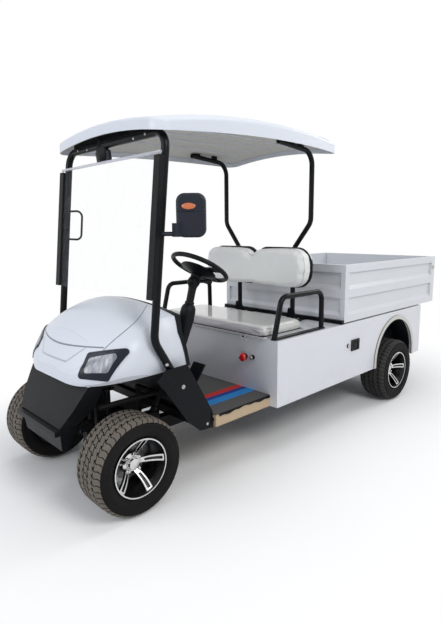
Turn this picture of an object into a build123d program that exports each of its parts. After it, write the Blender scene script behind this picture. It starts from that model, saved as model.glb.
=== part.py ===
from build123d import *
import os
from math import asin, atan2, cos, degrees, radians, sin, sqrt

# Electric utility golf cart with a steel cargo box. Millimetres, +X forward, +Y left, +Z up.
# The origin lies on the ground, under the middle of the cart.

# ---------------------------------------------------------------- driving dimensions
wheelbase = 2250
front_axle_x = 1350
rear_axle_x = front_axle_x - wheelbase
front_tyre_y = 414            # middle plane of each front tyre
rear_tyre_y = 517
fit = 0.3                     # gap between pieces that nearly touch
seat_room = 0.02              # gap round a tube where a bracket is clamped to it
run_gap = 6                   # gap between pieces that move past each other

tyre_radius = 229
tyre_width = 205
tyre_shoulder = 34
bead_radius = 139
rim_width = 190
rim_lip = 12
rim_wall = 6
rim_ring = 7                  # width of the bright ring round the rim's face
spoke_count = 5               # each spoke is a pair of bars with a slot between them
spoke_hub_half = 19           # half width of a pair at the hub
spoke_rim_half = 33           # and at the rim
slot_start = 56               # radius where the slot begins
slot_hub_half = 5
slot_rim_half = 15
spoke_hub_thick = 20
spoke_rim_thick = 11
spoke_sag = 7                 # how far the curved face of a spoke dips below a straight line
hub_radius = 42
hub_length = 70
hub_dish = 34
hub_flange = 56
hub_flange_thick = 20
nut_circle = 38
nut_count = 4
nut_pocket = 9
nut_pocket_deep = 8
axle_z = tyre_radius

kingpin_y = 330
kingpin_radius = 13
knuckle_height = 120
steer_arm_back = 115          # how far the steering arm's ball lies behind the kingpin
steer_arm_in = 38             # and inboard of it
steer_arm_thick = 14
tie_rod_radius = 9
ball_radius = 12
tie_drop = 30                 # middle of the tie rod below the steering arm
wishbone_drop = 30            # middle of the wishbone's outer end below the steering arm
wishbone_rise = 42
wishbone_reach = 64
wishbone_tube = 13
wishbone_eye = 18
stub_radius = 16
drum_radius = 80

rail_y = 165
rail_width = 50
rail_height = 70
rail_drop = 0.3                # rails' top below the body's bottom edge
rear_rail_low = 320            # the rails rise over the rear axle
kick_x = -490
kick_half = 30
frame_front = 1440
cross_xs = (1250, 1080, 20)
cross_width = 40
cross_drop = 8                # rails stand this far above and below the cross members
spring_cross_width = 50
hoop_width = 40
hoop_height = 30
spring_y = 330
spring_reach = 340            # from the rear axle to each spring eye
spring_eye = 17
leaf_width = 50
leaf_thick = 8
axle_tube = 35
damper_top = (-1070, 575)     # x and z
nose_rail_y = 300
nose_rail_z = 481
nose_rail_xs = (1110, 1430)
nose_strut_xs = (1125, 1399)
nose_strut = 20
nose_tube = 13
tower_x = front_axle_x
tower_out = 12                # the tower's outer face from the rail's middle
tower_in = 20
tower_width = 50
tower_cap_width = 90
tower_cap = 20
coil_top = (222, 560)         # y and z
coil_cap_reach = 45
coil_foot_y = 262
coil_radius = 38
coil_wire = 5.5
coil_turns = 7
coil_seat = 8                 # thickness of the round seats at the coil's ends
coil_shares = (0.24, 0.93)    # where the coil starts and ends along the damper
damper_tube = 20
damper_rod = 9
coil_seat_half = 32
beam_low = 335
beam_high = 375
beam_half = 190
beam_depth = 30

body_y = 556                  # outer face of the side panels
body_front = 460
body_rear = -1385
body_bottom = 282
deck_top = 672
deck_thick = 8
panel_thick = 20
lamp_y = (440, 520)           # tail lamp, in a cut-out of the tail panel
lamp_z = (560, 620)
lamp_stand = 16
lamp_sunk = 25
arch_x = -955
arch_z = 320
arch_radius = 298
arch_trim_width = 30
arch_trim_proud = 6
arch_trim_inset = 10
house_wall = 3
house_inner_y = 392

battery_rear = 60
battery_front = 380
battery_half = 400
battery_top = 610

floor_top = 350
floor_half = 500
floor_front = 884
board_thick = 18
skirt_thick = 15
mat_thick = 5
toe_top = (1012, 588)
toe_thick = 4

cushion_rear = 95
cushion_front = 488
cushion_half = 475
cushion_top = 745
cushion_round = 26
seat_board_thick = 12
seat_hinge_x = 468
seat_hinge_z = 666
hinge_pin = 4
hinge_lug = 8
hinge_ys = (-300, 300)
hatch_half = 430
hatch_front = 425
hatch_rear = 120

back_half = 452
back_bottom = 922
back_top = 1175
back_overlap = 20             # how far each lobe reaches past the middle
back_corner = 110
back_front = 95
back_thick = 86
back_round = 30
back_board_thick = 8

tube = 38
slim_tube = 32
pillar_y = 455
pillar_foot = (1052, 500)     # x and z
pillar_knee = (1222, 785)
pillar_top = (1120, 1725)
knee_bend = 110
top_bend = 75
post_x = -65
post_low_y = 247
post_high_y = 384
post_neck = (1160, 1335)      # z of the two bends
post_top_z = pillar_top[1] + 40
post_reach = 330              # how far the post runs forward under the roof
post_bend = 90

roof_front = 1190
roof_rear = -222
roof_peak_x = 250
roof_rise = 112               # highest point of the underside above the pillars' top
roof_thick = 65               # from there to the crown's highest point
roof_under_peak = pillar_top[1] + roof_rise
crown_peak_x = 350
crown_peak = roof_under_peak + roof_thick
crown_drop = 94               # of the crown at the front edge
shoulder_y = 385              # the crown rounds down from here to the sides
shoulder_drop = 48
crown_edge = 15               # rounding of the crown's rim
roof_half = 520
roof_front_half = 484
roof_rear_half = 470
roof_side_rise = 48
roof_side_drop = 56
roof_lip = 26
roof_lip_wall = 9
roof_corner = 80
flute_ys = (-300, -150, 0, 150, 300)   # pressed flutes along the underside
flute_half = 24
flute_deep = 7
flute_xs = (-90, 900)
boss_x = (-196, -96)          # raised bosses over the rear corners of the roof
boss_y = (316, 430)
boss_rise = 13
boss_corner = 30

handle_zs = (1400, 1243)      # ends of the passenger's grab handle on the right pillar
handle_reach = 94
handle_tube = 12
handle_bend = 32

strip_depth = 24
strip_width = 42
strip_low = 975
strip_high = pillar_top[1] - 113
screen_low = strip_low - 3
screen_fold = 1290
screen_high = strip_high + 20
screen_thick = 5
screen_gap = 3
screen_half = pillar_y + 12
screen_groove = 8

box_front = -225
box_rear = -1619
box_set_in = 3                # box wall inside the body's side
box_half = body_y - box_set_in
box_bottom = 681
box_top = 1061
box_wall = 25
box_floor_thick = 6
bed_sills = (-400, -800, -1200, -1560)   # x of the flat bars between deck and box floor
sill_half = 25
rib_depth = 14
rib_bands = ((725, 842), (898, 1010))   # low and high edge of each pressed band
rib_slope = 26
rib_end = 48
gate_hinge_z = 690
gate_open_gap = 6

column_y = 250
wheel_centre = (761, 1088)    # x and z of the steering wheel
wheel_tilt = 31
mirror_z = 1273
mirror_mount = (1137, 545)    # x and y
mirror_head = (1093, 582, 1353)
mirror_size = (132, 42, 192)
mirror_turn = 130
mirror_corner = 38
mirror_round = 15
inside_mirror_y = -90
inside_mirror = (22, 130, 56)
wheel_radius = 167
grip_radius = 12.5
wheel_hub_deep = 44
# Half outline of the steering wheel's dished hub: radius, depth below the rim's plane
wheel_hub_outline = ((0, 4), (62, 6), (96, 12), (100, 18), (70, 30),
                     (38, wheel_hub_deep), (0, wheel_hub_deep))
wheel_spokes = ((0, 58), (90, 44), (-90, 44))   # angle from the driver's side, width
wheel_spoke_thick = 8
joint_x = 806
joint_z = 1013
column_foot = (912, 640)
gear_point = (1085, 212, 330)
gear_width = 45
column_radius = 26
column_ball = 34
shroud_radius = 36            # the column's shroud widens to this at its foot
stalk_radius = 6
stalk_reach = 140

cowl_wall = 5
cowl_rear_top = (1050, 800)
cowl_rear_foot = (993, 600)
# Cross-sections of the nose: x, crown z, shoulder y and z, flank y and z, foot y and z
cowl_sections = (
    (960, 905, 412, 872, 431, 750, 424, 618),
    (1060, 926, 404, 878, 431, 750, 424, 619),
    (1200, 938, 372, 842, 430, 740, 424, 620),
    (1330, 884, 388, 780, 424, 700, 404, 614),
    (1430, 800, 300, 716, 356, 662, 340, 600),
    (1492, 700, 205, 664, 262, 630, 250, 590),
    (1518, 652, 120, 640, 160, 616, 150, 591),
)

dash_thick = 22
edge_lap = 12                 # the black edging laps this far over the cowl's rear edge
edge_behind = 9
edge_proud = 4
# Pockets pressed into the dashboard: inner y, outer y, low z, high z
dash_pockets = ((-352, -200, 662, 778), (-180, -40, 662, 778), (-20, 130, 700, 778))
pocket_deep = 16
nose_bar_x = tower_x - 60
nose_bar_z = 640
nose_bar = 30
lamp_proud = 7
lamp_round = 16
lamp_depth = 45
lamp_corners = ((1317, 425, 770), (1425, 233, 731), (1497, 240, 625), (1398, 356, 612))
lens_corners = ((1352, 388, 744), (1430, 252, 706), (1482, 266, 650), (1402, 362, 650))

# Lower nose panel: z, front x, front half width, rear x, rear half width
apron_sections = (
    (591, 1479, 298, 1405, 312),
    (480, 1545, 262, 1440, 276),
    (400, 1588, 216, 1500, 222),
    (284, 1574, 198, 1548, 200),
)
apron_wall = 5
bumper = (1612, 217, 368, 392)  # front x, half width, low z, high z

plate_thick = 6
arm_y = 520
arm_foot_front = (449, deck_top)
arm_front = (386, 912)
arm_rear = (-6, 912)
arm_foot_rear = (-10, deck_top)
arm_bend = 55

rail_top = body_bottom - rail_drop
rail_low = rail_top - rail_height
rear_rail_top = rear_rail_low + rail_height
floor_under = floor_top - mat_thick - board_thick
far = 2 * wheelbase            # reach of the blocks that only cut
spring_eye_z = rear_rail_low - fit - spring_eye

# ---------------------------------------------------------------- helpers


def block(x0, x1, y0, y1, z0, z1):
    middle = Pos((x0 + x1) / 2, (y0 + y1) / 2, (z0 + z1) / 2)
    return middle * Box(abs(x1 - x0), abs(y1 - y0), abs(z1 - z0))


def both(shape):
    return shape + mirror(shape, about=Plane.XZ)


def rod(start, end, radius):
    start, end = Vector(*start), Vector(*end)
    axis = end - start
    return Solid.extrude(Face(Wire(Edge.make_circle(radius, Plane(start, z_dir=axis)))), axis)


def bent_tube(points, radii, radius):
    path = FilletPolyline(*points, radius=radii)
    start = Plane(path @ 0, z_dir=path % 0)
    return sweep(start * Circle(radius), path)


def flat_xz(points, y0, y1):
    """A plate whose outline is given as (x, z) pairs, from y0 to y1."""
    outline = make_face(Polyline(*[(x, y0, z) for x, z in points], close=True))
    return Solid.extrude(outline.face(), Vector(0, y1 - y0, 0))


def flat_yz(points, x0, x1):
    outline = make_face(Polyline(*[(x0, y, z) for y, z in points], close=True))
    return Solid.extrude(outline.face(), Vector(x1 - x0, 0, 0))


def y_disc(x, z, radius, y0, y1):
    return rod((x, y0, z), (x, y1, z), radius)


nodes = {}

# ---------------------------------------------------------------- wheels


def tyre():
    half = tyre_width / 2
    seat_half = rim_width / 2 - rim_lip
    with BuildPart() as body:
        with BuildSketch(Plane.XZ):
            with BuildLine():
                Polyline(
                    (bead_radius + fit, -seat_half),
                    (bead_radius + fit, seat_half),
                    (bead_radius + 22, half - 2),
                    (tyre_radius - tyre_shoulder, half),
                    (tyre_radius - 6, half - 20),
                    (tyre_radius, 0),
                    (tyre_radius - 6, 20 - half),
                    (tyre_radius - tyre_shoulder, -half),
                    (bead_radius + 22, 2 - half),
                    close=True,
                )
            make_face()
        revolve(axis=Axis.Z)
    return Rot(90, 0, 0) * body.part


def rim():
    """The outer face is at +Z: a barrel with a ring, a dished hub and pairs of curved bars."""
    half, inner = rim_width / 2, bead_radius - rim_wall
    hub_top = half - hub_dish
    barrel = Cylinder(bead_radius, rim_width) - Cylinder(inner, rim_width + 2)
    ring = Cylinder(bead_radius, rim_wall) - Cylinder(bead_radius - rim_ring - rim_wall, rim_wall + 2)
    body = barrel + Pos(0, 0, half - rim_wall / 2) * ring
    body += Pos(0, 0, hub_top - hub_length / 2) * Cylinder(hub_radius, hub_length)
    flange = Pos(0, 0, hub_top - hub_flange_thick / 2) * Cylinder(hub_flange, hub_flange_thick)
    for k in range(nut_count):
        around = Rot(0, 0, 360 / nut_count * k + 45) * Pos(nut_circle, 0, hub_top)
        flange -= around * Cylinder(nut_pocket, 2 * nut_pocket_deep)
    x0, x1 = hub_radius * 0.8, bead_radius - rim_wall / 2
    z0, z1 = hub_top - 2, half - 4
    middle = ((x0 + x1) / 2, 0, (z0 + z1) / 2 - spoke_sag)
    face = make_face([
        ThreePointArc((x0, 0, z0), middle, (x1, 0, z1)), Line((x1, 0, z1), (x1, 0, z1 - spoke_rim_thick)),
        ThreePointArc((x1, 0, z1 - spoke_rim_thick), (middle[0], 0, middle[2] - spoke_rim_thick - 4),
                      (x0, 0, z0 - spoke_hub_thick)),
        Line((x0, 0, z0 - spoke_hub_thick), (x0, 0, z0)),
    ])
    slab = Pos(0, -spoke_rim_half, 0) * Solid.extrude(face.face(), Vector(0, 2 * spoke_rim_half, 0))
    outline = ((x0 - 1, -spoke_hub_half), (x1 + 1, -spoke_rim_half), (x1 + 1, spoke_rim_half),
               (x0 - 1, spoke_hub_half))
    slot_end = inner - rim_ring / 2
    slot = ((slot_start, -slot_hub_half), (slot_end, -slot_rim_half), (slot_end, slot_rim_half),
            (slot_start, slot_hub_half))
    plan, gap = (make_face(Polyline(*points, close=True)) for points in (outline, slot))
    spoke = (slab & extrude(plan, half) & Cylinder(x1, 2 * rim_width)) - extrude(gap, half)
    for k in range(spoke_count):
        body += Rot(0, 0, 360 / spoke_count * k) * spoke
    return Rot(-90, 0, 0) * (body + flange)


tyre_solid = tyre()
rim_solid = rim()
wheel_spots = (
    ("front_left", front_axle_x, front_tyre_y, 1),
    ("front_right", front_axle_x, -front_tyre_y, -1),
    ("rear_left", rear_axle_x, rear_tyre_y, 1),
    ("rear_right", rear_axle_x, -rear_tyre_y, -1),
)
for name, x, y, side in wheel_spots:
    place = Pos(x, y, axle_z)
    nodes["tyre_" + name] = place * tyre_solid
    nodes["rim_" + name] = place * (rim_solid if side > 0 else mirror(rim_solid, about=Plane.XZ))

# ---------------------------------------------------------------- front axle and steering

hub_back_y = rim_width / 2 - hub_dish - hub_length    # inner face of the rim's hub, from the tyre's middle


arm_low = axle_z - knuckle_height / 2
ball_spot = (front_axle_x - steer_arm_back, kingpin_y - steer_arm_in)
tie_z = arm_low - tie_drop


def knuckle(side):
    """Upright with its stub axle, drum and steering arm, made for the left side."""
    x, y = front_axle_x, kingpin_y
    upright = block(x - 22, x + 22, y - 20, y + 20, arm_low, axle_z + knuckle_height / 2)
    stub_end = front_tyre_y + hub_back_y - fit
    stub = y_disc(x, axle_z, stub_radius, y, stub_end)
    drum = y_disc(x, axle_z, drum_radius, y + 26, stub_end)
    span = sqrt(steer_arm_back ** 2 + steer_arm_in ** 2)
    angle = degrees(atan2(-steer_arm_in, -steer_arm_back))
    arm = Pos(x, y, arm_low + steer_arm_thick / 2) * Rot(0, 0, angle) * Pos(span / 2, 0, 0)
    arm = arm * Box(span, 20, steer_arm_thick)
    boss = rod((*ball_spot, arm_low), (*ball_spot, arm_low + steer_arm_thick), ball_radius)
    whole = upright + stub + drum + arm + boss
    return whole if side > 0 else mirror(whole, about=Plane.XZ)


nodes["knuckle_left"] = knuckle(1)
nodes["knuckle_right"] = knuckle(-1)

tie_x, tie_y = ball_spot
rod_body = rod((tie_x, -tie_y, tie_z), (tie_x, tie_y, tie_z), tie_rod_radius)
for y in (-tie_y, tie_y):
    rod_body += rod((tie_x, y, tie_z - ball_radius), (tie_x, y, arm_low - fit), ball_radius)
nodes["tie_rod"] = rod_body

wishbone_z = arm_low - wishbone_drop
wishbone_y = rail_y + tower_out


coil_seat_z = wishbone_z + wishbone_rise * (kingpin_y - coil_foot_y) / (kingpin_y - wishbone_y) + 18


def front_arm():
    """Lower wishbone with its ball joint under the kingpin, left side."""
    x, z = front_axle_x, wishbone_z
    legs = rod((x, kingpin_y, z - wishbone_tube), (x, kingpin_y, arm_low - fit), wishbone_eye)
    eye_z = z + wishbone_rise
    for dx in (-wishbone_reach, wishbone_reach):
        legs += rod((x, kingpin_y, z), (x + dx, wishbone_y, eye_z), wishbone_tube)
        legs += rod((x + dx - 25, wishbone_y, eye_z), (x + dx + 25, wishbone_y, eye_z), wishbone_eye)
    legs += block(x - coil_seat_half, x + coil_seat_half, coil_foot_y - 14, coil_foot_y + 14,
                  coil_seat_z - 24, coil_seat_z)
    return legs


nodes["front_arms"] = both(front_arm())


def coil_over():
    """Damper inside a real coil, which runs between two round seats."""
    foot = Vector(tower_x, coil_foot_y, coil_seat_z + fit)
    head = Vector(tower_x, coil_top[0], coil_top[1] - fit)
    axis = head - foot
    low, high = (foot + axis * share for share in coil_shares)
    unit = axis.normalized()
    body = rod(foot, foot + axis * 0.6, damper_tube) + rod(foot + axis * 0.6, head, damper_rod)
    body += rod(low - unit * coil_seat, low, coil_radius) + rod(high, high + unit * coil_seat, coil_radius)
    body += rod(high + unit * coil_seat, head, damper_tube)
    height = (high - low).length + coil_wire
    place = Plane(low - unit * coil_wire / 2, z_dir=axis)
    line = Helix(height / coil_turns, height, coil_radius - coil_wire)
    wire = sweep(Plane(line @ 0, z_dir=line % 0) * Circle(coil_wire), line, is_frenet=True)
    body += place * wire
    return body & block(0, far, 0, far, coil_seat_z + fit, coil_top[1] - fit)


nodes["front_shocks"] = both(coil_over())

# ---------------------------------------------------------------- frame


frame_rear = body_rear + panel_thick + fit
plate_in = pillar_y + tube / 2 + fit


def rails():
    """Two box-section rails that rise behind the cab to clear the rear axle."""
    y0, y1 = rail_y - rail_width / 2, rail_y + rail_width / 2
    rail = block(kick_x - kick_half, frame_front, y0, y1, rail_low, rail_top)
    rail += block(kick_x - kick_half, kick_x + kick_half, y0, y1, rail_low, rear_rail_top)
    rail += block(frame_rear + cross_width, kick_x + kick_half, y0, y1, rear_rail_low, rear_rail_top)
    return both(rail)


nodes["chassis_frame"] = rails()

# Outriggers that lie across the rails: middle x, half width
outriggers = (
    (floor_front + 46, plate_in - fit),
    (body_front - panel_thick - fit - cross_width / 2, body_y - panel_thick - fit),
    (body_front + 60, floor_half - skirt_thick - 20),
    (floor_front - 60, floor_half - skirt_thick - 20),
)


def cross_members():
    between = rail_y - rail_width / 2
    body = []
    for x in cross_xs:
        body.append(block(x - cross_width / 2, x + cross_width / 2, -between, between,
                          rail_low + cross_drop, rail_top - cross_drop))
    for x, half in outriggers:
        body.append(block(x - cross_width / 2, x + cross_width / 2, -half, half, rail_top, floor_under))
    tail_half = body_y - panel_thick - fit
    x0, x1 = frame_rear, frame_rear + cross_width
    body.append(block(x0, x1, -tail_half, tail_half, rear_rail_low, rear_rail_top))
    outer = rail_y + rail_width / 2
    spring_half = spring_y + leaf_width / 2 + 5
    for x in (rear_axle_x - spring_reach, rear_axle_x + spring_reach):
        x0, x1 = x - spring_cross_width / 2, x + spring_cross_width / 2
        for y0, y1 in ((-spring_half, -outer), (-between, between), (outer, spring_half)):
            body.append(block(x0, x1, y0, y1, rear_rail_low, rear_rail_top))
    dx, dz = damper_top
    x0, x1 = dx - hoop_width / 2, dx + hoop_width / 2
    hoop = block(x0, x1, -spring_y - 5, spring_y + 5, dz, dz + hoop_height)
    for y in (-rail_y, rail_y):
        hoop += block(x0, x1, y - hoop_width / 2, y + hoop_width / 2, rear_rail_top, dz)
    body.append(hoop)
    return Compound(body)


nodes["cross_members"] = cross_members()

tower_y0, tower_y1 = rail_y - tower_in, rail_y + tower_out


def nose_rail():
    """The left nose rail on its two struts, which stand on the chassis rail."""
    y, z, half = nose_rail_y, nose_rail_z, nose_strut / 2
    body = rod((nose_rail_xs[0], y, z), (nose_rail_xs[1], y, z), nose_tube)
    for x in nose_strut_xs:
        body += block(x - half, x + half, tower_y0, y, z - half, z + half)
        body += block(x - half, x + half, tower_y0, rail_y + 5, rail_top, z + half)
    return body


# ---------------------------------------------------------------- body


def arch_cut(radius, y0, y1):
    disc = y_disc(arch_x, arch_z, radius, y0, y1)
    return disc + block(arch_x - radius, arch_x + radius, y0, y1, 0, arch_z)


def side_panel():
    top = deck_top - deck_thick
    plate = block(body_rear, body_front, body_y - panel_thick, body_y, body_bottom, top)
    return plate - arch_cut(arch_radius, body_y - 2 * panel_thick, body_y + panel_thick)


nodes["side_panels"] = both(side_panel())


def arch_trim():
    ring = arch_cut(arch_radius + arch_trim_width - arch_trim_inset, body_y, body_y + arch_trim_proud)
    ring -= arch_cut(arch_radius - arch_trim_inset, body_y - 1, body_y + arch_trim_proud + 1)
    return ring - block(-far, 0, 0, far, 0, body_bottom)


nodes["arch_trims"] = both(arch_trim())


def wheelhouse():
    y1 = body_y - panel_thick
    outer = arch_cut(arch_radius, house_inner_y, y1)
    inner = arch_cut(arch_radius - house_wall, house_inner_y + house_wall, y1 + 1)
    return outer - inner - block(-far, 0, 0, far, 0, body_bottom)


nodes["wheelhouses"] = both(wheelhouse())

inner_y = body_y - panel_thick
front_face = block(body_front - panel_thick, body_front, -inner_y, inner_y, body_bottom,
                   deck_top - deck_thick)
for y in hinge_ys:
    for dy in (-18, 18):
        lug = y_disc(seat_hinge_x, seat_hinge_z - 2, hinge_lug, y + dy - 6, y + dy + 6)
        lug += block(body_front, seat_hinge_x, y + dy - 6, y + dy + 6, seat_hinge_z - 30, seat_hinge_z - 2)
        front_face += lug - y_disc(seat_hinge_x, seat_hinge_z - 2, hinge_pin + fit, y - 40, y + 40)
nodes["seat_front_panel"] = front_face

deck = block(body_rear, body_front, -body_y, body_y, deck_top - deck_thick, deck_top)
deck -= block(hatch_rear, hatch_front, -hatch_half, hatch_half, 0, deck_top + 10)
deck += block(body_rear, body_rear + panel_thick, -inner_y, inner_y, body_bottom, deck_top)


def tail_lamp(grow):
    (y0, y1), (z0, z1) = lamp_y, lamp_z
    return block(body_rear - lamp_stand, body_rear + lamp_sunk, y0 - grow, y1 + grow, z0 - grow, z1 + grow)


deck -= both(tail_lamp(fit))
nodes["deck"] = deck
nodes["tail_lamps"] = both(tail_lamp(0))

nodes["battery_pack"] = block(battery_rear, battery_front, -battery_half, battery_half, rail_top, battery_top)

board_top = floor_top - mat_thick
board = block(body_front, floor_front, -floor_half, floor_half, board_top - board_thick, board_top)
board += both(block(body_front, floor_front, floor_half - skirt_thick, floor_half, rail_top, board_top))
nodes["floor_board"] = board
toe_half = plate_in - 4
toe = flat_xz(((floor_front, board_top), toe_top, (toe_top[0] + toe_thick, toe_top[1]),
               (floor_front + toe_thick, board_top - board_thick), (floor_front, board_top - board_thick)),
              -toe_half, toe_half)
nodes["floor_mat"] = block(body_front, floor_front, -floor_half, floor_half, board_top, floor_top)

# ---------------------------------------------------------------- nose


def cowl_section(row, inset):
    x, crown, sy, sz, fy, fz, by, bz = row
    sy, fy, by = sy - inset, fy - inset, by - inset
    crown, sz = crown - inset, sz - inset
    low = bz - 20 if inset > 0 else bz - 1
    right = ThreePointArc((x, -by, bz), (x, -fy, fz), (x, -sy, sz))
    top = ThreePointArc((x, -sy, sz), (x, 0, crown), (x, sy, sz))
    left = ThreePointArc((x, sy, sz), (x, fy, fz), (x, by, bz))
    base = Polyline((x, by, bz), (x, by, low), (x, -by, low), (x, -by, bz))
    return make_face([right, top, left, base])


def cowl_form(inset):
    rows = list(cowl_sections)
    rows[-1] = (rows[-1][0] - inset,) + rows[-1][1:]
    return loft([cowl_section(row, inset) for row in rows])


def behind_cowl(ahead):
    """Everything behind the cowl's rear edge, moved forward by ahead."""
    (tx, tz), (fx, fz) = cowl_rear_top, cowl_rear_foot
    outline = ((fx + ahead, 0), (fx + ahead, fz), (tx + ahead, tz), (tx + ahead, far), (0, far), (0, 0))
    return flat_xz(outline, -far, far)


cowl_outer = cowl_form(0)
nodes["front_cowl"] = cowl_outer - cowl_form(cowl_wall) - behind_cowl(0)

inner_form = cowl_form(cowl_wall + fit)
dash = (inner_form & behind_cowl(dash_thick)) - behind_cowl(0)
dash -= block(0, far, -far, far, 0, toe_top[1] + fit)
for y0, y1, z0, z1 in dash_pockets:
    dash -= behind_cowl(pocket_deep) & block(0, far, y0, y1, z0, z1)


def cowl_edging():
    """The black channel that laps over the cowl's rear edge, inside and out."""
    channel = cowl_form(-edge_proud) - cowl_form(cowl_wall + edge_proud)
    channel = (channel & behind_cowl(edge_lap)) - behind_cowl(-edge_behind)
    sheet = cowl_form(-fit) - cowl_form(cowl_wall + fit) - behind_cowl(-fit)
    return channel - sheet - block(0, far, -far, far, 0, cowl_rear_foot[1] + 22)


nodes["dashboard"] = dash + cowl_edging()


def spring_tower():
    """The left tower, with the cap that the coil-over pushes on and a leg up to the nose bar."""
    top_y, top_z = coil_top
    body = block(tower_x - tower_width / 2, tower_x + tower_width / 2, tower_y0, tower_y1, rail_top, top_z)
    x0, x1 = tower_x - tower_cap_width / 2, tower_x + tower_cap_width / 2
    body += block(x0, x1, tower_y0, top_y + coil_cap_reach, top_z, top_z + tower_cap)
    body += block(nose_bar_x - nose_bar / 2, nose_bar_x + nose_bar / 2, tower_y0, tower_y1, top_z, nose_bar_z)
    return body


cross_bar = Pos(nose_bar_x, 0, nose_bar_z) * Box(nose_bar, far, nose_bar)
nodes["spring_towers"] = both(spring_tower()) + (cross_bar & inner_form)


def lamp_prism(points):
    a, b, c, d = (Vector(*p) for p in points)
    normal = (c - a).cross(d - b).normalized()
    if normal.X < 0:
        normal = -normal
    middle = (a + b + c + d) * 0.25
    plane = Plane(middle, z_dir=normal)
    flat = [plane.to_local_coords(p) for p in (a, b, c, d)]
    outline = make_face(Polyline(*[(p.X, p.Y) for p in flat], close=True))
    outline = fillet(outline.vertices(), lamp_round)
    return extrude(plane * outline, lamp_depth, both=True)


bezel_prism, lens_prism = lamp_prism(lamp_corners), lamp_prism(lens_corners)
skin_7 = cowl_form(-lamp_proud) - cowl_form(-fit)
lens_skin = cowl_form(-lamp_proud + 2) - cowl_form(-fit)
nodes["headlamp_bezels"] = both((skin_7 & bezel_prism) - lens_prism)
nodes["headlamp_lenses"] = both(lens_skin & lens_prism)


def apron_level(row, inset):
    z, xf, yf, xr, yr = row
    xf, yf, yr = xf - inset, yf - inset, yr - inset
    xr = xr - 40 if inset else xr
    return make_face(Polyline((xf, -yf, z), (xf, yf, z), (xr, yr, z), (xr, -yr, z), close=True))


def apron_form(inset):
    rows = list(apron_sections)
    if inset:
        rows[0] = (rows[0][0] + apron_wall,) + rows[0][1:]
        rows[-1] = (rows[-1][0] - apron_wall,) + rows[-1][1:]
    return loft([apron_level(row, inset) for row in rows], ruled=True)


def apron():
    front, half, low, high = bumper
    lip = block(front - 40, front, -half, half, low, high)
    return (apron_form(0) + lip) - apron_form(apron_wall)


beam = block(frame_front, far, -beam_half, beam_half, beam_low, beam_high) & apron_form(apron_wall + fit)
for y in (-rail_y, rail_y):
    y0, y1 = y - tower_in, y + tower_in
    beam += block(frame_front - beam_depth, frame_front, y0, y1, rail_top, beam_high)
    beam += block(frame_front - beam_depth, frame_front + beam_depth, y0, y1, beam_low, beam_high)
nodes["nose_frame"] = both(nose_rail()) + beam


nodes["front_panel"] = apron()
nodes["toe_board"] = toe

# ---------------------------------------------------------------- cab tubes, roof and screen


cross_radius = (roof_half ** 2 + roof_side_rise ** 2) / (2 * roof_side_rise)


def roof_dome(x, z_top, drop, flat_half, side_drop):
    """Everything below a shell curved both ways: its peak, its fall to the front edge, and how far each
    side runs on before it rounds down by side_drop."""
    half = roof_half + 5
    edge = z_top - cross_radius + sqrt(cross_radius ** 2 - flat_half ** 2)
    low = z_top / 2
    middle = ThreePointArc((x, -flat_half, edge), (x, 0, z_top), (x, flat_half, edge))
    outline = [middle]
    if side_drop:
        slope = flat_half / cross_radius
        for side in (1, -1):
            start, end = (x, side * flat_half, edge), (x, side * half, edge - side_drop)
            outline.append(TangentArc(start, end, tangent=(0, side, -slope)))
        edge -= side_drop
        flat_half = half
    outline.append(Polyline((x, flat_half, edge), (x, flat_half, low), (x, -flat_half, low),
                            (x, -flat_half, edge)))
    face = make_face(outline)
    reach = roof_front - x
    along = (reach ** 2 + drop ** 2) / (2 * drop)
    turn = degrees(asin((roof_front - roof_rear) * 0.8 / along))
    axis = Axis((x, 0, z_top - along), (0, 1, 0))
    return revolve(face, axis, turn) + revolve(face, axis, -turn)


under = roof_dome(roof_peak_x, roof_under_peak, roof_side_drop, roof_half * 1.3, 0)


def roof_plan(grow):
    f, r, m = roof_front + grow, roof_rear - grow, (roof_front + roof_rear) / 2
    fy, ry, my = roof_front_half + grow, roof_rear_half + grow, roof_half + grow
    left = ThreePointArc((f, fy), (m, my), (r, ry))
    right = ThreePointArc((r, -ry), (m, -my), (f, -fy))
    face = make_face([left, Line((r, ry), (r, -ry)), right, Line((f, -fy), (f, fy))])
    return fillet(face.vertices(), roof_corner + grow)


def roof():
    plan = extrude(Pos(0, 0, roof_under_peak / 2) * roof_plan(0), roof_under_peak)
    inner = extrude(Pos(0, 0, roof_under_peak / 2) * roof_plan(-roof_lip_wall), roof_under_peak)
    upper = roof_dome(crown_peak_x, crown_peak, crown_drop, shoulder_y, shoulder_drop)
    crown = (upper - under) & plan
    walls = [face for face in crown.faces() if abs(face.normal_at().Z) < 0.05]
    crown = fillet([face.edges().sort_by(Axis.Z)[-1] for face in walls], crown_edge)
    lip = (under - Pos(0, 0, -roof_lip) * under) & (plan - inner)
    body = crown + lip
    flutes = under - Pos(0, 0, -flute_deep) * under
    for y in flute_ys:
        body += flutes & block(*flute_xs, y - flute_half, y + flute_half, roof_under_peak / 2, crown_peak)
    (x0, x1), (y0, y1) = boss_x, boss_y
    boss = RectangleRounded(x1 - x0, y1 - y0, boss_corner)
    boss = Pos((x0 + x1) / 2, (y0 + y1) / 2, roof_under_peak / 2) * boss
    raised = (Pos(0, 0, boss_rise) * upper - under) & extrude(boss, crown_peak)
    return body + both(raised)


nodes["roof"] = roof()


def pillar_x(z):
    (x0, z0), (x1, z1) = pillar_knee, pillar_top
    return x0 + (x1 - x0) * (z - z0) / (z1 - z0)


lean = atan2(pillar_knee[0] - pillar_top[0], pillar_top[1] - pillar_knee[1])


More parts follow.
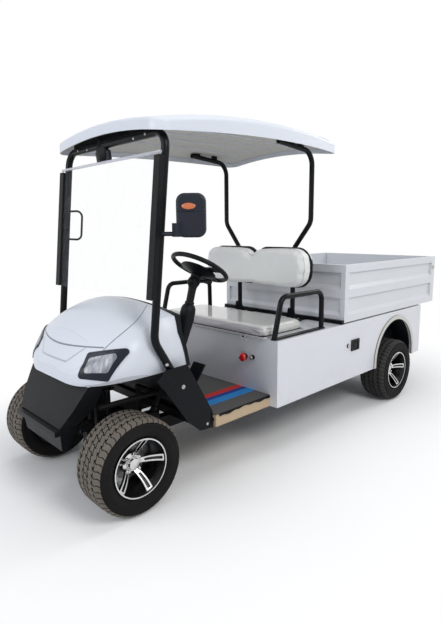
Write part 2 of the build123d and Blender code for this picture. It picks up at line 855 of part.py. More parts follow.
def leaning(z0, z1, w0, w1, y0, y1):
    """A bar along the pillars' slope: w is the distance ahead of the pillar's middle line."""
    corners = ((z0, w0), (z0, w1), (z1, w1), (z1, w0))
    return flat_xz([(pillar_x(z) + w * cos(lean), z + w * sin(lean)) for z, w in corners], y0, y1)


def front_hoop():
    y = pillar_y
    (xf, zf), (xk, zk), (xt, zt) = pillar_foot, pillar_knee, pillar_top
    points = [(xf, y, zf), (xk, y, zk), (xt, y, zt), (xt, -y, zt), (xk, -y, zk), (xf, -y, zf)]
    hoop = bent_tube(points, [knee_bend, top_bend, top_bend, knee_bend], tube / 2)
    half = pillar_y - top_bend
    filler = block(xt - tube / 2, xt + tube / 4, -half, half, zt, crown_peak) & under
    return hoop + filler


nodes["front_hoop"] = front_hoop()

w_face = tube / 2
strip = leaning(strip_low, strip_high, w_face - 4, w_face + strip_depth, pillar_y - strip_width / 2,
                pillar_y + strip_width / 2)
pane_w = w_face + strip_depth / 2
half_groove = screen_thick / 2 + fit
groove = leaning(screen_low - 5, screen_high + 5, pane_w - half_groove, pane_w + half_groove, 0,
                 screen_half + fit)


def pillar_core(y):
    """The straight stretch of a pillar with a hair of room, to cut what seats on it."""
    low, high = pillar_knee[1], pillar_top[1]
    return rod((pillar_x(low), y, low), (pillar_x(high), y, high), tube / 2 + seat_room)


strip -= pillar_core(pillar_y)


def grab_handle():
    """The passenger's handle, a bent rod behind the right pillar."""
    high, low = handle_zs
    points = [(pillar_x(high), high), (pillar_x(high) - handle_reach, high + 6),
              (pillar_x(low) - handle_reach, low - 6), (pillar_x(low), low)]
    handle = bent_tube([(x, -pillar_y, z) for x, z in points], [handle_bend, handle_bend], handle_tube / 2)
    return handle - pillar_core(-pillar_y)


nodes["screen_strips"] = both(strip - groove) + grab_handle()

panes = []
for z0, z1 in ((screen_low, screen_fold - screen_gap / 2), (screen_fold + screen_gap / 2, screen_high)):
    w0, w1 = pane_w - screen_thick / 2, pane_w + screen_thick / 2
    panes.append(leaning(z0, z1, w0, w1, -screen_half, screen_half))
nodes["windscreen"] = Compound(panes)


def rear_post():
    low, high = post_neck
    x, r = post_x, slim_tube / 2
    points = [(x, post_low_y, deck_top), (x, post_low_y, low), (x, post_high_y, high),
              (x, post_high_y, post_top_z), (x + post_reach, post_high_y, post_top_z + 28)]
    tube_body = bent_tube(points, [post_bend, post_bend, post_bend], r)
    foot = block(x - 60, x + 40, post_low_y - 35, post_low_y + 35, deck_top, deck_top + 8)
    gusset = flat_xz(((x - 55, deck_top + 8), (x + 35, deck_top + 8), (x, deck_top + 100)), post_low_y - 4,
                     post_low_y + 4)
    foot_half, neck_half, low_z, high_z = 42, r + 6, deck_top + 8, deck_top + 96
    y0, y1, y2, y3 = (post_low_y + dy for dy in (-foot_half, foot_half, neck_half, -neck_half))
    gusset += flat_yz(((y0, low_z), (y1, low_z), (y2, high_z), (y3, high_z)), x + r - 4, x + r + 4)
    pads = None
    for dx in (120, 280):
        pad = block(x + dx - 20, x + dx + 20, post_high_y - 10, post_high_y + 10, post_top_z + 10, crown_peak)
        pad = pad & under
        pads = pad if pads is None else pads + pad
    return tube_body + foot + gusset + pads


nodes["rear_posts"] = both(rear_post())

# ---------------------------------------------------------------- seat


def back_outline(grow):
    width = back_half + back_overlap + 2 * grow
    height = back_top - back_bottom + 2 * grow
    middle = (back_half - back_overlap) / 2
    lobe = RectangleRounded(width, height, back_corner)
    z = (back_top + back_bottom) / 2
    return (Pos(middle, z) * lobe) + (Pos(-middle, z) * lobe)


def back_slab(x0, x1, grow):
    face = Plane((x0, 0, 0), x_dir=(0, 1, 0), z_dir=(1, 0, 0)) * back_outline(grow)
    return extrude(face, x1 - x0)


pad_rear = back_front - back_thick
pad = back_slab(pad_rear, back_front, 0)
pad = fillet(pad.faces().sort_by(Axis.X)[-1].edges(), back_round)
nodes["seat_back"] = pad

shell_rear = pad_rear - fit - back_board_thick
shell_board = back_slab(shell_rear, pad_rear - fit, 3)
for y in (-post_low_y, post_low_y):
    for z in (965, 1085):
        shell_board += block(post_x + slim_tube / 2 - 2, shell_rear, y - 20, y + 20, z - 20, z + 20)
shell_board -= both(bent_tube([(post_x, post_low_y, 700), (post_x, post_low_y, post_neck[0]),
                               (post_x, post_high_y, post_neck[1])], [post_bend],
                              slim_tube / 2 + seat_room))
nodes["seat_back_board"] = shell_board

board_low = deck_top + fit
seat_board = block(cushion_rear + 8, cushion_front - 8, 8 - cushion_half, cushion_half - 8, board_low,
                   board_low + seat_board_thick)
for y in hinge_ys:
    pin = y_disc(seat_hinge_x, seat_hinge_z - 2, hinge_pin, y - 24, y + 24)
    tab = block(seat_hinge_x - 3, seat_hinge_x + 3, y - 11, y + 11, seat_hinge_z - 2, board_low + 2)
    seat_board += pin + tab
nodes["seat_board"] = seat_board
cushion = block(cushion_rear, cushion_front, -cushion_half, cushion_half,
                board_low + seat_board_thick + fit, cushion_top)
rim_edges = cushion.edges().filter_by(Axis.Z) + cushion.faces().sort_by(Axis.Z)[-1].edges()
cushion = fillet(rim_edges, cushion_round)
nodes["seat_cushion"] = cushion


def armrest():
    y, r = arm_y, slim_tube / 2
    hoop_path = [(arm_foot_front[0], y, arm_foot_front[1]), (arm_front[0], y, arm_front[1]),
                 (arm_rear[0], y, arm_rear[1]), (arm_foot_rear[0], y, arm_foot_rear[1])]
    hoop = bent_tube(hoop_path, [arm_bend, arm_bend], r)
    base = block(arm_foot_rear[0] - 18, arm_foot_front[0] + 10, y - 16, y + 16, deck_top, deck_top + 10)
    return hoop + base


nodes["armrests"] = both(armrest() - block(-200, 600, 0, 700, 0, deck_top))

# ---------------------------------------------------------------- cargo box

seam = box_front - box_wall


def bands(x0, x1, y_face, deep):
    """Two pressed bands with a sloping sill, as a cutter on the face at y_face."""
    cut = None
    for low, high in rib_bands:
        outline = ((y_face, low), (y_face - deep, low + rib_slope), (y_face - deep, high), (y_face, high))
        piece = flat_yz(outline, x0, x1)
        cut = piece if cut is None else cut + piece
    return cut


side_wall = block(box_rear, seam, box_half - box_wall, box_half, box_bottom, box_top)
side_wall -= bands(box_rear + rib_end + 16, seam - rib_end + 25, box_half, rib_depth)
nodes["cargo_sides"] = both(side_wall)


def turned_bands(half, x_face, deep):
    cut = None
    for low, high in rib_bands:
        outline = ((x_face, low), (x_face - deep, low + rib_slope), (x_face - deep, high), (x_face, high))
        piece = flat_xz(outline, -half, half)
        cut = piece if cut is None else cut + piece
    return cut


front_wall = block(seam, box_front, -box_half, box_half, box_bottom, box_top)
front_wall -= turned_bands(box_half - 34, box_front, rib_depth)
nodes["cargo_front"] = front_wall

gate_half = box_half - box_wall - run_gap
gate_front = box_rear + box_wall
floor_end = gate_front + run_gap
bed_half = box_half - box_wall
bed = block(floor_end, seam, -bed_half, bed_half, box_bottom, box_bottom + box_floor_thick)
for x in bed_sills:
    bed += block(x - sill_half, x + sill_half, -bed_half, bed_half, deck_top, box_bottom)
hinge_x = box_rear - 4
gate_ys = (-380, 0, 380)
for y in gate_ys:
    for dy in (-22, 22):
        bed += block(hinge_x, floor_end + 30, y + dy - 7, y + dy + 7, box_bottom - 8, box_bottom)
        bed += y_disc(hinge_x, box_bottom - 2, 8, y + dy - 7, y + dy + 7)
    bed -= y_disc(hinge_x, box_bottom - 2, hinge_pin + fit, y - 60, y + 60)
nodes["cargo_floor"] = bed

gate = block(box_rear, gate_front, -gate_half, gate_half, gate_hinge_z + run_gap, box_top)
rear_bands = mirror(turned_bands(gate_half - 34, -box_rear, rib_depth), about=Plane.YZ)
gate -= rear_bands
for y in gate_ys:
    gate += y_disc(hinge_x, box_bottom - 2, hinge_pin, y - 28, y + 28)
    gate += block(hinge_x - 4, hinge_x + 4, y - 14, y + 14, box_bottom - 2, gate_hinge_z + run_gap + 30)
nodes["tailgate"] = gate

rail_bar = block(box_front, box_front + 26, -box_half, box_half, deck_top, box_bottom + 17)
for y in (-post_low_y, post_low_y):
    rail_bar += block(box_front + 20, post_x - 50, y - 20, y + 20, deck_top, deck_top + 6)
nodes["rear_posts"] = nodes["rear_posts"] + rail_bar

# ---------------------------------------------------------------- brackets beside the floor

plate_outline = ((1050, 648), (1175, 645), (1228, 600), (1045, 347), (975, 283), (889, 278), (889, 366))

def toe_at(z):
    """x of the toe board's rear face at height z."""
    share = (z - board_top) / (toe_top[1] - board_top)
    return floor_front + share * (toe_top[0] - floor_front)


nodes["side_plates"] = both(flat_xz(plate_outline, plate_in, plate_in + plate_thick))

# ---------------------------------------------------------------- steering column and wheel

tilt = radians(wheel_tilt)
spin = Vector(-sin(tilt), 0, cos(tilt))
hub = Vector(wheel_centre[0], column_y, wheel_centre[1])


def steering_wheel():
    """Rim, dished hub and three flat spokes, the widest one towards the driver."""
    base = Plane(hub, x_dir=(-cos(tilt), 0, -sin(tilt)), z_dir=spin)
    middle = wheel_radius - grip_radius
    body = base * Torus(middle, grip_radius)
    dish = make_face(Polyline(*[(radius, 0, -deep) for radius, deep in wheel_hub_outline], close=True))
    body += base * revolve(dish, Axis.Z)
    for angle, width in wheel_spokes:
        spoke = Pos(middle / 2, 0, -wheel_spoke_thick) * Box(middle, width, wheel_spoke_thick)
        body += base * (Rot(0, 0, angle) * spoke)
    return body


nodes["steering_wheel"] = steering_wheel()

low_end = hub - spin * (wheel_hub_deep + fit)
knee = Vector(joint_x, column_y, joint_z)


def column():
    upper = rod(tuple(low_end), tuple(knee), column_radius)
    ball = Pos(knee.X, knee.Y, knee.Z) * Sphere(column_ball)
    foot = (column_foot[0], column_y, column_foot[1])
    run = Vector(*foot) - knee
    shroud = Cone(column_radius, shroud_radius, run.length)
    lower = Plane(knee, z_dir=run) * Pos(0, 0, run.length / 2) * shroud
    shaft = rod(foot, gear_point, 12)
    gear_x, gear_y = gear_point[0], rail_y + rail_width / 2
    gear = block(gear_x - 40, gear_x + 40, gear_y, gear_y + gear_width, rail_top - 60, gear_point[2] + 20)
    stalk = rod(tuple(knee), (knee.X - 10, column_y - stalk_reach, knee.Z + 12), stalk_radius)
    return upper + ball + lower + shaft + gear + stalk


nodes["steering_column"] = column()
shaft_hole = rod((column_foot[0], column_y, column_foot[1]), gear_point, 20)
nodes["toe_board"] = nodes["toe_board"] - shaft_hole
column_hole = rod(tuple(knee), (column_foot[0], column_y, column_foot[1]), column_radius + 14)
nodes["dashboard"] = nodes["dashboard"] - shaft_hole - column_hole

# ---------------------------------------------------------------- rear axle


def rear_axle():
    hub_end = rear_tyre_y + hub_back_y - fit
    body = y_disc(rear_axle_x, axle_z, axle_tube, -hub_end + 60, hub_end - 60)
    body += y_disc(rear_axle_x, axle_z, 92, 20, 130)
    body += y_disc(rear_axle_x + 95, axle_z + 20, 84, -130, 90)
    for side in (-1, 1):
        y0, y1 = sorted((side * (hub_end - 70), side * hub_end))
        body += y_disc(rear_axle_x, axle_z, drum_radius, y0, y1)
    return body


nodes["rear_axle"] = rear_axle()


def rear_spring():
    x, y0, y1 = rear_axle_x, spring_y - leaf_width / 2, spring_y + leaf_width / 2
    middle_z = axle_z + axle_tube + 2 * leaf_thick + fit
    body = None
    for k, share in enumerate((1.0, 0.72, 0.42)):
        z = middle_z - k * leaf_thick
        rise = (spring_eye_z - middle_z) * share ** 2
        reach = spring_reach * share
        low = ThreePointArc((x - reach, z + rise), (x, z), (x + reach, z + rise))
        high = Pos(0, leaf_thick) * low
        sides = [Line(low @ 0, high @ 0), Line(low @ 1, high @ 1)]
        face = make_face([low, high] + sides)
        leaf = extrude(Plane((0, y0, 0), x_dir=(1, 0, 0), z_dir=(0, -1, 0)) * face, -leaf_width)
        body = leaf if body is None else body + leaf
    for end in (x - spring_reach, x + spring_reach):
        body += y_disc(end, spring_eye_z, spring_eye, y0, y1)
    body += block(x - 35, x + 35, y0 - 6, y1 + 6, axle_z + axle_tube + fit, middle_z + leaf_thick + 8)
    dx, dz = damper_top
    foot = (x - 60, 285, axle_z + 30)
    damper = rod(foot, (dx, 285, dz - fit), 18) & block(-far, 0, 0, far, 0, dz - fit)
    bracket = block(x - 80, x - axle_tube - fit, 270, 300, axle_z, axle_z + 40)
    return body + damper + bracket


nodes["rear_springs"] = both(rear_spring())

# ---------------------------------------------------------------- pedals, mirrors, lamps and small fittings


pedal_set = None
for y, width in ((282, 95), (150, 65)):
    pad = Pos(845, y, 505) * Rot(0, 53 - 90, 0) * Box(8, width, 150)
    stem = rod((845, y, 500), (toe_at(505) + 20, y, 505), 8)
    whole = pad + stem
    pedal_set = whole if pedal_set is None else pedal_set + whole
ahead_of_toe = flat_xz(((floor_front, board_top), toe_top, (far, toe_top[1]), (far, board_top)), -far, far)
nodes["pedals"] = pedal_set - ahead_of_toe


def mirrors():
    x = pillar_x(mirror_z)
    arm = rod((x, pillar_y + tube / 2 - 1, mirror_z), (*mirror_mount, mirror_z), 10)
    arm -= pillar_core(pillar_y)
    width, thick, height = mirror_size
    face = Plane.XZ * RectangleRounded(width, height, mirror_corner)
    head = extrude(face, thick / 2, both=True)
    flat = [side for side in head.faces() if abs(side.normal_at().Y) > 0.99]
    head = fillet([edge for side in flat for edge in side.edges()], mirror_round)
    head = Pos(*mirror_head) * Rot(0, 0, mirror_turn) * head
    mount = Pos(*mirror_mount, 1290) * Box(40, 40, 60)
    side = arm + head + mount
    top_x, top_z = pillar_top
    stem = rod((top_x, inside_mirror_y, top_z - tube / 2 + 4), (top_x, inside_mirror_y, top_z - 35), 7)
    stem -= rod((top_x, -200, top_z), (top_x, 200, top_z), tube / 2 + seat_room)
    glass = Pos(top_x - 4, inside_mirror_y, top_z - 53) * Rot(0, 8, 0) * Box(*inside_mirror)
    cabin = stem + fillet(glass.edges(), 9)
    return side + cabin


nodes["mirrors"] = mirrors()

fittings = block(-413, -315, body_y, body_y + 8, 475, 550)
fittings -= y_disc(-364, 512, 31, body_y + 3, body_y + 9)
fittings += y_disc(-364, 512, 23, body_y, body_y + 7)
fittings += y_disc(-277, 517, 14, body_y, body_y + 6)
stop = rod((body_front, 312, 545), (body_front + 14, 312, 545), 14)
stop += rod((body_front + 14, 312, 545), (body_front + 34, 312, 545), 22)
key = rod((body_front, 369, 549), (body_front + 8, 369, 549), 14)
nodes["body_fittings"] = fittings + stop + key

# ---------------------------------------------------------------- write

os.makedirs("parts", exist_ok=True)
for name, shape in nodes.items():
    export_step(shape, os.path.join("parts", name + ".step"))
    print(name, len(shape.solids()), "solid(s)")
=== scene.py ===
# %% [markdown]
# # A golf cart with a cargo box
# The measured parts come from a CAD model and already stand in their places: tubes, panels, wheels, hinges.
# This notebook dresses them. It gives every part a finish, and models by hand what the CAD leaves plain: tread,
# cushions, trim, bolts and lamps. All sizes are metres; +X is forward, +Y is the driver's left side and +Z is
# up.

# %% Load the measured parts
from math import cos, pi, radians, sin, sqrt

import bmesh
import bpy
from mathutils import Matrix, Vector


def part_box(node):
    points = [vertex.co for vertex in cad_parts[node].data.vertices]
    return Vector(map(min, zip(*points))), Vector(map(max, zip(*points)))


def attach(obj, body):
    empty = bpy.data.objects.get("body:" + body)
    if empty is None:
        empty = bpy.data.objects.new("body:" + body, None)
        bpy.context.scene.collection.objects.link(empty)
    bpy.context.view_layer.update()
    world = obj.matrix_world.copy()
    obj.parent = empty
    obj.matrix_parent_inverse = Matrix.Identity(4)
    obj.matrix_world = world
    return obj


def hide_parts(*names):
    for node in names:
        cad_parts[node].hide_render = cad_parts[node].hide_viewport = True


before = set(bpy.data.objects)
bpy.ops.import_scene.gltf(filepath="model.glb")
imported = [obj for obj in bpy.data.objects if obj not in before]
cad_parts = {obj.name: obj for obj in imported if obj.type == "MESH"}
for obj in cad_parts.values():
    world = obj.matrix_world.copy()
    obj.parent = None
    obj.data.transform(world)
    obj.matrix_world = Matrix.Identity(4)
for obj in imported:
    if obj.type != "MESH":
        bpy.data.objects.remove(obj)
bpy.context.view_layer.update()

# %% [markdown]
# ## Working like a modeller
# An operator acts on whatever is selected, and a loaded scene starts with parts selected. So one short helper
# clears the selection and takes a single piece. Another moves a piece's place into its mesh, because patterns
# are read from the mesh and would slide otherwise.

# %% One piece at a time
def only(piece):
    """Makes piece the one selected and active object."""
    if bpy.context.object and bpy.context.object.mode != "OBJECT":
        bpy.ops.object.mode_set(mode="OBJECT")
    bpy.ops.object.select_all(action="DESELECT")
    piece.select_set(True)
    bpy.context.view_layer.objects.active = piece
    return piece


def done(piece):
    """Back to object mode, with the place moved into the mesh."""
    only(piece)
    bpy.ops.object.transform_apply(location=True, rotation=True, scale=True)
    return piece


print("pieces: only, done")

# %% [markdown]
# ## Picking parts of a mesh
# In edit mode a person clicks the faces or edges to shape. Numbers of faces change whenever the mesh does, so
# here they are picked by a rule on their place or direction, which still holds after a size is changed.

# %% Picking by a rule
def pick(piece, kind, rule):
    """Edit mode, with only the faces or edges of piece selected that pass the rule."""
    only(piece)
    bpy.ops.object.mode_set(mode="EDIT")
    bpy.ops.mesh.select_mode(type=kind)
    bpy.ops.mesh.select_all(action="DESELECT")
    cage = bmesh.from_edit_mesh(piece.data)
    for item in {"FACE": cage.faces, "EDGE": cage.edges}[kind]:
        if rule(item):
            item.select = True
    cage.select_flush_mode()
    bmesh.update_edit_mesh(piece.data)


def along(edge, axis):
    """True for an edge that runs along axis 0, 1 or 2."""
    run = edge.verts[1].co - edge.verts[0].co
    return abs(run[axis]) > 0.95 * run.length


print("picking: pick, along")

# %% [markdown]
# ## Starting shapes
# Each piece begins as a primitive at its real size and place. A cube is given by its two corners and a cylinder
# by its two ends, which is easier to follow on a drawing than a centre, a scale and an angle.

# %% Cube and cylinder
def cube(name, low, high):
    low, high = Vector(low), Vector(high)
    bpy.ops.object.select_all(action="DESELECT")
    bpy.ops.mesh.primitive_cube_add(size=1, location=(low + high) / 2, scale=high - low)
    piece = bpy.context.object
    piece.name = name
    return done(piece)


def cylinder(name, start, end, radius, sides=32):
    start, end = Vector(start), Vector(end)
    axis = end - start
    bpy.ops.object.select_all(action="DESELECT")
    bpy.ops.mesh.primitive_cylinder_add(vertices=sides, radius=radius, depth=axis.length,
                                        location=(start + end) / 2,
                                        rotation=axis.to_track_quat("Z", "Y").to_euler())
    piece = bpy.context.object
    piece.name = name
    return done(piece)


print("starting shapes: cube, cylinder")

# %% [markdown]
# ## Flat shapes with depth
# Tread blocks, spokes and cushion covers begin as a flat grid. Its outline is easy to draw there, and one
# extrusion then gives the depth. The same shapes cut from a cube would need many more steps.

# %% Grid and extrusion
def sheet(name, columns, rows, place=(0, 0, 0), size=1, stretch=(1, 1, 1)):
    """A flat grid in x and y."""
    bpy.ops.object.select_all(action="DESELECT")
    bpy.ops.mesh.primitive_grid_add(x_subdivisions=columns, y_subdivisions=rows, size=size, location=place)
    bpy.ops.transform.resize(value=stretch)
    piece = bpy.context.object
    piece.name = name
    return done(piece)


def extruded(piece, step):
    """Gives a flat piece its depth and turns its faces outwards."""
    bpy.ops.object.mode_set(mode="EDIT")
    bpy.ops.mesh.select_all(action="SELECT")
    bpy.ops.mesh.extrude_region_move(TRANSFORM_OT_translate={"value": step})
    bpy.ops.mesh.select_all(action="SELECT")
    bpy.ops.mesh.normals_make_consistent(inside=False)
    bpy.ops.object.mode_set(mode="OBJECT")
    return piece


print("starting shapes: sheet, extruded")

# %% [markdown]
# ## Turned shapes
# Tyres, wheels, bolts and the steering post are all round. A Screw modifier could turn a curve, but drawing the
# section point by point with extrude and then spinning it about its axle is what one does by hand, and it
# leaves a plain mesh. The doubled points at the seam and on the axle are merged.

# %% Lathe
def lathe(name, profile, centre, axis, steps=96):
    """Spins (radius, distance along the axis) pairs about an axis through centre."""
    centre, axis = Vector(centre), Vector(axis).normalized()
    out = axis.orthogonal().normalized()
    points = [centre + out * radius + axis * reach for radius, reach in profile]
    bpy.ops.object.select_all(action="DESELECT")
    bpy.ops.mesh.primitive_plane_add(size=0.001, location=points[0])
    piece = bpy.context.object
    piece.name = name
    done(piece)
    bpy.ops.object.mode_set(mode="EDIT")
    bpy.ops.mesh.select_mode(type="VERT")
    bpy.ops.mesh.select_all(action="SELECT")
    bpy.ops.mesh.merge(type="CENTER")
    for a, b in zip(points, points[1:]):
        bpy.ops.mesh.extrude_vertices_move(TRANSFORM_OT_translate={"value": b - a})
    bpy.ops.mesh.select_all(action="SELECT")
    bpy.ops.mesh.spin(steps=steps, angle=2 * pi, center=centre, axis=axis)
    bpy.ops.mesh.select_all(action="SELECT")
    bpy.ops.mesh.remove_doubles(threshold=0.00002)
    bpy.ops.mesh.normals_make_consistent(inside=False)
    bpy.ops.object.mode_set(mode="OBJECT")
    return piece


print("turned shapes: lathe")

# %% [markdown]
# ## Finishing touches for any shape
# No real edge is perfectly keen: a narrow bevel catches a line of light along it. Modifiers are applied at
# once, so each piece ends as a plain mesh. Smooth shading stops at the angle where the surface really folds.

# %% Modifiers, applied at once
def apply_modifier(piece, kind, **settings):
    only(piece)
    modifier = piece.modifiers.new(kind.title(), kind)
    for key, value in settings.items():
        setattr(modifier, key, value)
    bpy.ops.object.modifier_apply(modifier=modifier.name)
    return piece


def rounded(piece, width, segments=2, angle=35):
    """Bevels every edge sharper than the angle."""
    return apply_modifier(piece, "BEVEL", width=width, segments=segments, limit_method="ANGLE",
                          angle_limit=radians(angle))


def smooth(piece, angle=35):
    only(piece)
    bpy.ops.object.shade_smooth_by_angle(angle=radians(angle))
    return piece


def joined(name, pieces):
    """Several solids as one piece."""
    only(pieces[0])
    for piece in pieces[1:]:
        piece.select_set(True)
    bpy.ops.object.join()
    bpy.context.object.name = name
    return bpy.context.object


def copy_of(piece, name):
    twin = piece.copy()
    twin.data = piece.data.copy()
    twin.name = name
    bpy.context.collection.objects.link(twin)
    return twin


print("finishing touches: rounded, smooth, joined, copy_of")

# %% [markdown]
# ## Finishes as short formulas
# A finish is a tree of shader nodes. Drawing it by hand takes dozens of links, so one small class wraps a
# socket and lets Python's own signs add the Math nodes: `1 - mask` really makes a Subtract node.

# %% A socket that can be calculated with
class Wire:
    def __init__(self, nodes, socket):
        self.nodes, self.socket = nodes, socket

    def __add__(self, other):
        return self.nodes.maths("ADD", self, other)

    def __radd__(self, other):
        return self.nodes.maths("ADD", other, self)

    def __sub__(self, other):
        return self.nodes.maths("SUBTRACT", self, other)

    def __rsub__(self, other):
        return self.nodes.maths("SUBTRACT", other, self)

    def __mul__(self, other):
        return self.nodes.maths("MULTIPLY", self, other)

    def __rmul__(self, other):
        return self.nodes.maths("MULTIPLY", other, self)

    def __pow__(self, other):
        return self.nodes.maths("POWER", self, other)

    def __gt__(self, other):
        return self.nodes.maths("GREATER_THAN", self, other)

    def __lt__(self, other):
        return self.nodes.maths("LESS_THAN", self, other)

    def size(self):
        return self.nodes.maths("ABSOLUTE", self, 0.0)

    def wave(self):
        return self.nodes.maths("SINE", self, 0.0)


print("operators: + - * ** > <, size and wave")

# %% [markdown]
# ## One way to add a node
# Everything that is not a sum comes from one method. It takes the node's kind, its settings, which are set
# first because they can change its sockets, and what its sockets hold: a number, a colour or a link.

# %% A tree that adds its own nodes
class Nodes:
    """A node tree of a finish or of the world."""

    def __init__(self, tree):
        self.tree, self.made = tree, {}

    def join(self, value, socket):
        if isinstance(value, Wire):
            self.tree.links.new(value.socket, socket)
        elif isinstance(value, tuple) and len(value) == 3 and socket.type == "RGBA":
            socket.default_value = (*value, 1)
        else:
            socket.default_value = value

    def node(self, kind, settings, inputs, out=0):
        made = self.tree.nodes.new("ShaderNode" + kind)
        for key, value in settings.items():
            setattr(made, key, value)
        for key, value in inputs.items():
            self.join(value, made.inputs[key])
        return Wire(self, made.outputs[out]) if made.outputs else None

    def maths(self, operation, first, second):
        return self.node("Math", {"operation": operation}, {0: first, 1: second})


print("node trees: join, node, maths")

# %% [markdown]
# ## Patterns in metres
# Patterns read the point on the piece in metres, so a grain of 1/500 m is the same size on every part and does
# not slide when a wheel turns. Noise gives clouds and grain, cells give facets and leather, and the direction
# of the surface tells a top from an underside.

# %% Patterns
class Patterns(Nodes):
    def place(self):
        """The point on the piece, in metres."""
        if "place" not in self.made:
            self.made["place"] = self.node("TexCoord", {}, {}, "Object")
        return self.made["place"]

    def axis(self, which):
        if "axes" not in self.made:
            self.made["axes"] = self.node("SeparateXYZ", {}, {0: self.place()})
        return Wire(self, self.made["axes"].socket.node.outputs[which])

    def facing(self, which):
        """1 where the surface faces straight along axis 0, 1 or 2, and -1 where it faces straight against it."""
        return self.node("SeparateXYZ", {}, {0: self.node("TexCoord", {}, {}, "Normal")}, which)

    def noise(self, scale, detail=3.0, rough=0.5, stretch=(1, 1, 1)):
        place = self.node("Mapping", {}, {"Vector": self.place(), "Scale": stretch})
        return self.node("TexNoise", {},
                         {"Vector": place, "Scale": scale, "Detail": detail, "Roughness": rough})

    def cells(self, scale, feature="F1", stretch=(1, 1, 1)):
        place = self.node("Mapping", {}, {"Vector": self.place(), "Scale": stretch})
        return self.node("TexVoronoi", {"feature": feature}, {"Vector": place, "Scale": scale})

    def between(self, value, low, high):
        """0 below low, 1 above high, and smooth between."""
        return self.node("MapRange", {"interpolation_type": "SMOOTHSTEP"},
                         {"Value": value, "From Min": low, "From Max": high})

    def mix(self, mask, first, second):
        return self.node("Mix", {"data_type": "RGBA"}, {0: mask, 6: first, 7: second}, 2)


print("patterns: place, axis, facing, noise, cells, between, mix")

# %% [markdown]
# ## A finish
# A material with its one shader. What is the same all over is set on the shader when the finish is made; what
# changes over the surface is joined later. Reliefs are stacked: each Bump node passes its normal on to the
# next, so a fine grain can lie on a broad wave.

# %% A finish
class Finish(Patterns):
    def __init__(self, name, **plain):
        self.material = bpy.data.materials.new(name)
        self.material.use_nodes = True
        super().__init__(self.material.node_tree)
        self.shader = self.tree.nodes["Principled BSDF"]
        self.feed(**plain)

    def feed(self, **values):
        for key, value in values.items():
            self.join(value, self.shader.inputs[key.replace("_", " ")])

    def bump(self, height, distance, strength=1.0):
        inputs = {"Height": height, "Distance": distance, "Strength": strength}
        if "bump" in self.made:
            inputs["Normal"] = self.made["bump"]
        self.made["bump"] = self.node("Bump", {}, inputs)
        self.feed(Normal=self.made["bump"])


print("finish: feed, bump")

# %% [markdown]
# ## Colours, and putting a finish on
# Colours are easier to judge as screen values from 0 to 255, but a shader works in linear light, so they are
# converted. A finished piece also has to say which moving body carries it.

# %% Colours and dressing
def tone(red, green, blue):
    """A screen colour, 0 to 255, as the linear light that a shader works in."""
    def linear(v):
        v /= 255
        return v / 12.92 if v <= 0.04045 else ((v + 0.055) / 1.055) ** 2.4
    return linear(red), linear(green), linear(blue)


def shade(colour, factor):
    return tuple(v * factor for v in colour)


def told(*finishes):
    for finish in finishes:
        print(finish.material.name, "has", len(finish.tree.nodes), "nodes")


def dress(piece, finish):
    """Gives a piece or a CAD part this finish alone."""
    if piece.data.materials:
        for slot in piece.material_slots:
            slot.material = finish.material
    else:
        piece.data.materials.append(finish.material)
    return piece


def fitted(piece, body, finish):
    """A finished piece: dressed, and riding on its body."""
    dress(piece, finish)
    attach(piece, body)
    return piece


print("dressing: tone, shade, dress, fitted")

# %% [markdown]
# ## The simplest finish
# Many materials need no more than this: a slow cloud that moves colour and roughness together, because a duller
# spot is usually also a paler or a darker one, and a fine grain as relief. One function serves them all, and
# what is the same all over, such as metal or a coat, is set straight on the shader.

# %% Clouded finish
def clouded(name, light, dark, cloud, rough, grain, **plain):
    """cloud: scale, detail and roughness of the drift; rough: least and span; grain: scale, detail, depth."""
    f = Finish(name, **plain)
    drift = f.noise(*cloud)
    f.feed(Base_Color=f.mix(drift, light, dark), Roughness=rough[0] + drift * rough[1])
    f.bump(f.noise(grain[0], grain[1]), grain[2])
    return f


print("finish: clouded")

# %% [markdown]
# ## White paint
# The body, deck and cargo box are steel sheet in a cool white gloss. Real paint is never one flat value: it has
# a faint orange-peel ripple, a little dust low down and slightly duller patches where hands and loads rub it.
# Below each pressed rib of the box, the faces that look down are painted a darker grey: painted shade.

# %% White paint for the steel panels
def white_paint(name, colour, dust_top, shade_under_ribs=False):
    """dust_top: the height where the dust ends. The last flag adds painted shade, a darker grey, on the faces
    that look down.
    """
    f = Finish(name, Roughness=0.3, Coat_Roughness=0.08, Specular_IOR_Level=0.5)
    cloud = f.noise(3.5, 5, 0.6)
    dust = (1 - f.between(f.axis(2), 0.25, dust_top)) * f.between(f.noise(11, 6, 0.65), 0.4, 0.75)
    clean = f.mix(cloud, colour, shade(colour, 0.93))
    if shade_under_ribs:
        # Painted shade: a darker grey mixed in on the faces that look down, under the box's pressed ribs.
        clean = f.mix(f.between(f.facing(2) * -1, 0.1, 0.5) * 0.7, clean, tone(132, 133, 136))
    f.feed(Base_Color=f.mix(dust * 0.12, clean, tone(160, 152, 140)),
           Roughness=0.24 + cloud * 0.14 + dust * 0.25, Coat_Weight=0.35)
    f.bump(f.noise(420, 2), 0.00012)
    f.bump(f.noise(1.7, 2), 0.004, 0.35)
    return f


panel_white = white_paint("panel_white", tone(214, 216, 222), 0.45)
# The cargo box's white also gets painted shade under its pressed ribs.
box_white = white_paint("box_white", tone(211, 214, 219), 0.75, shade_under_ribs=True)
told(panel_white, box_white)
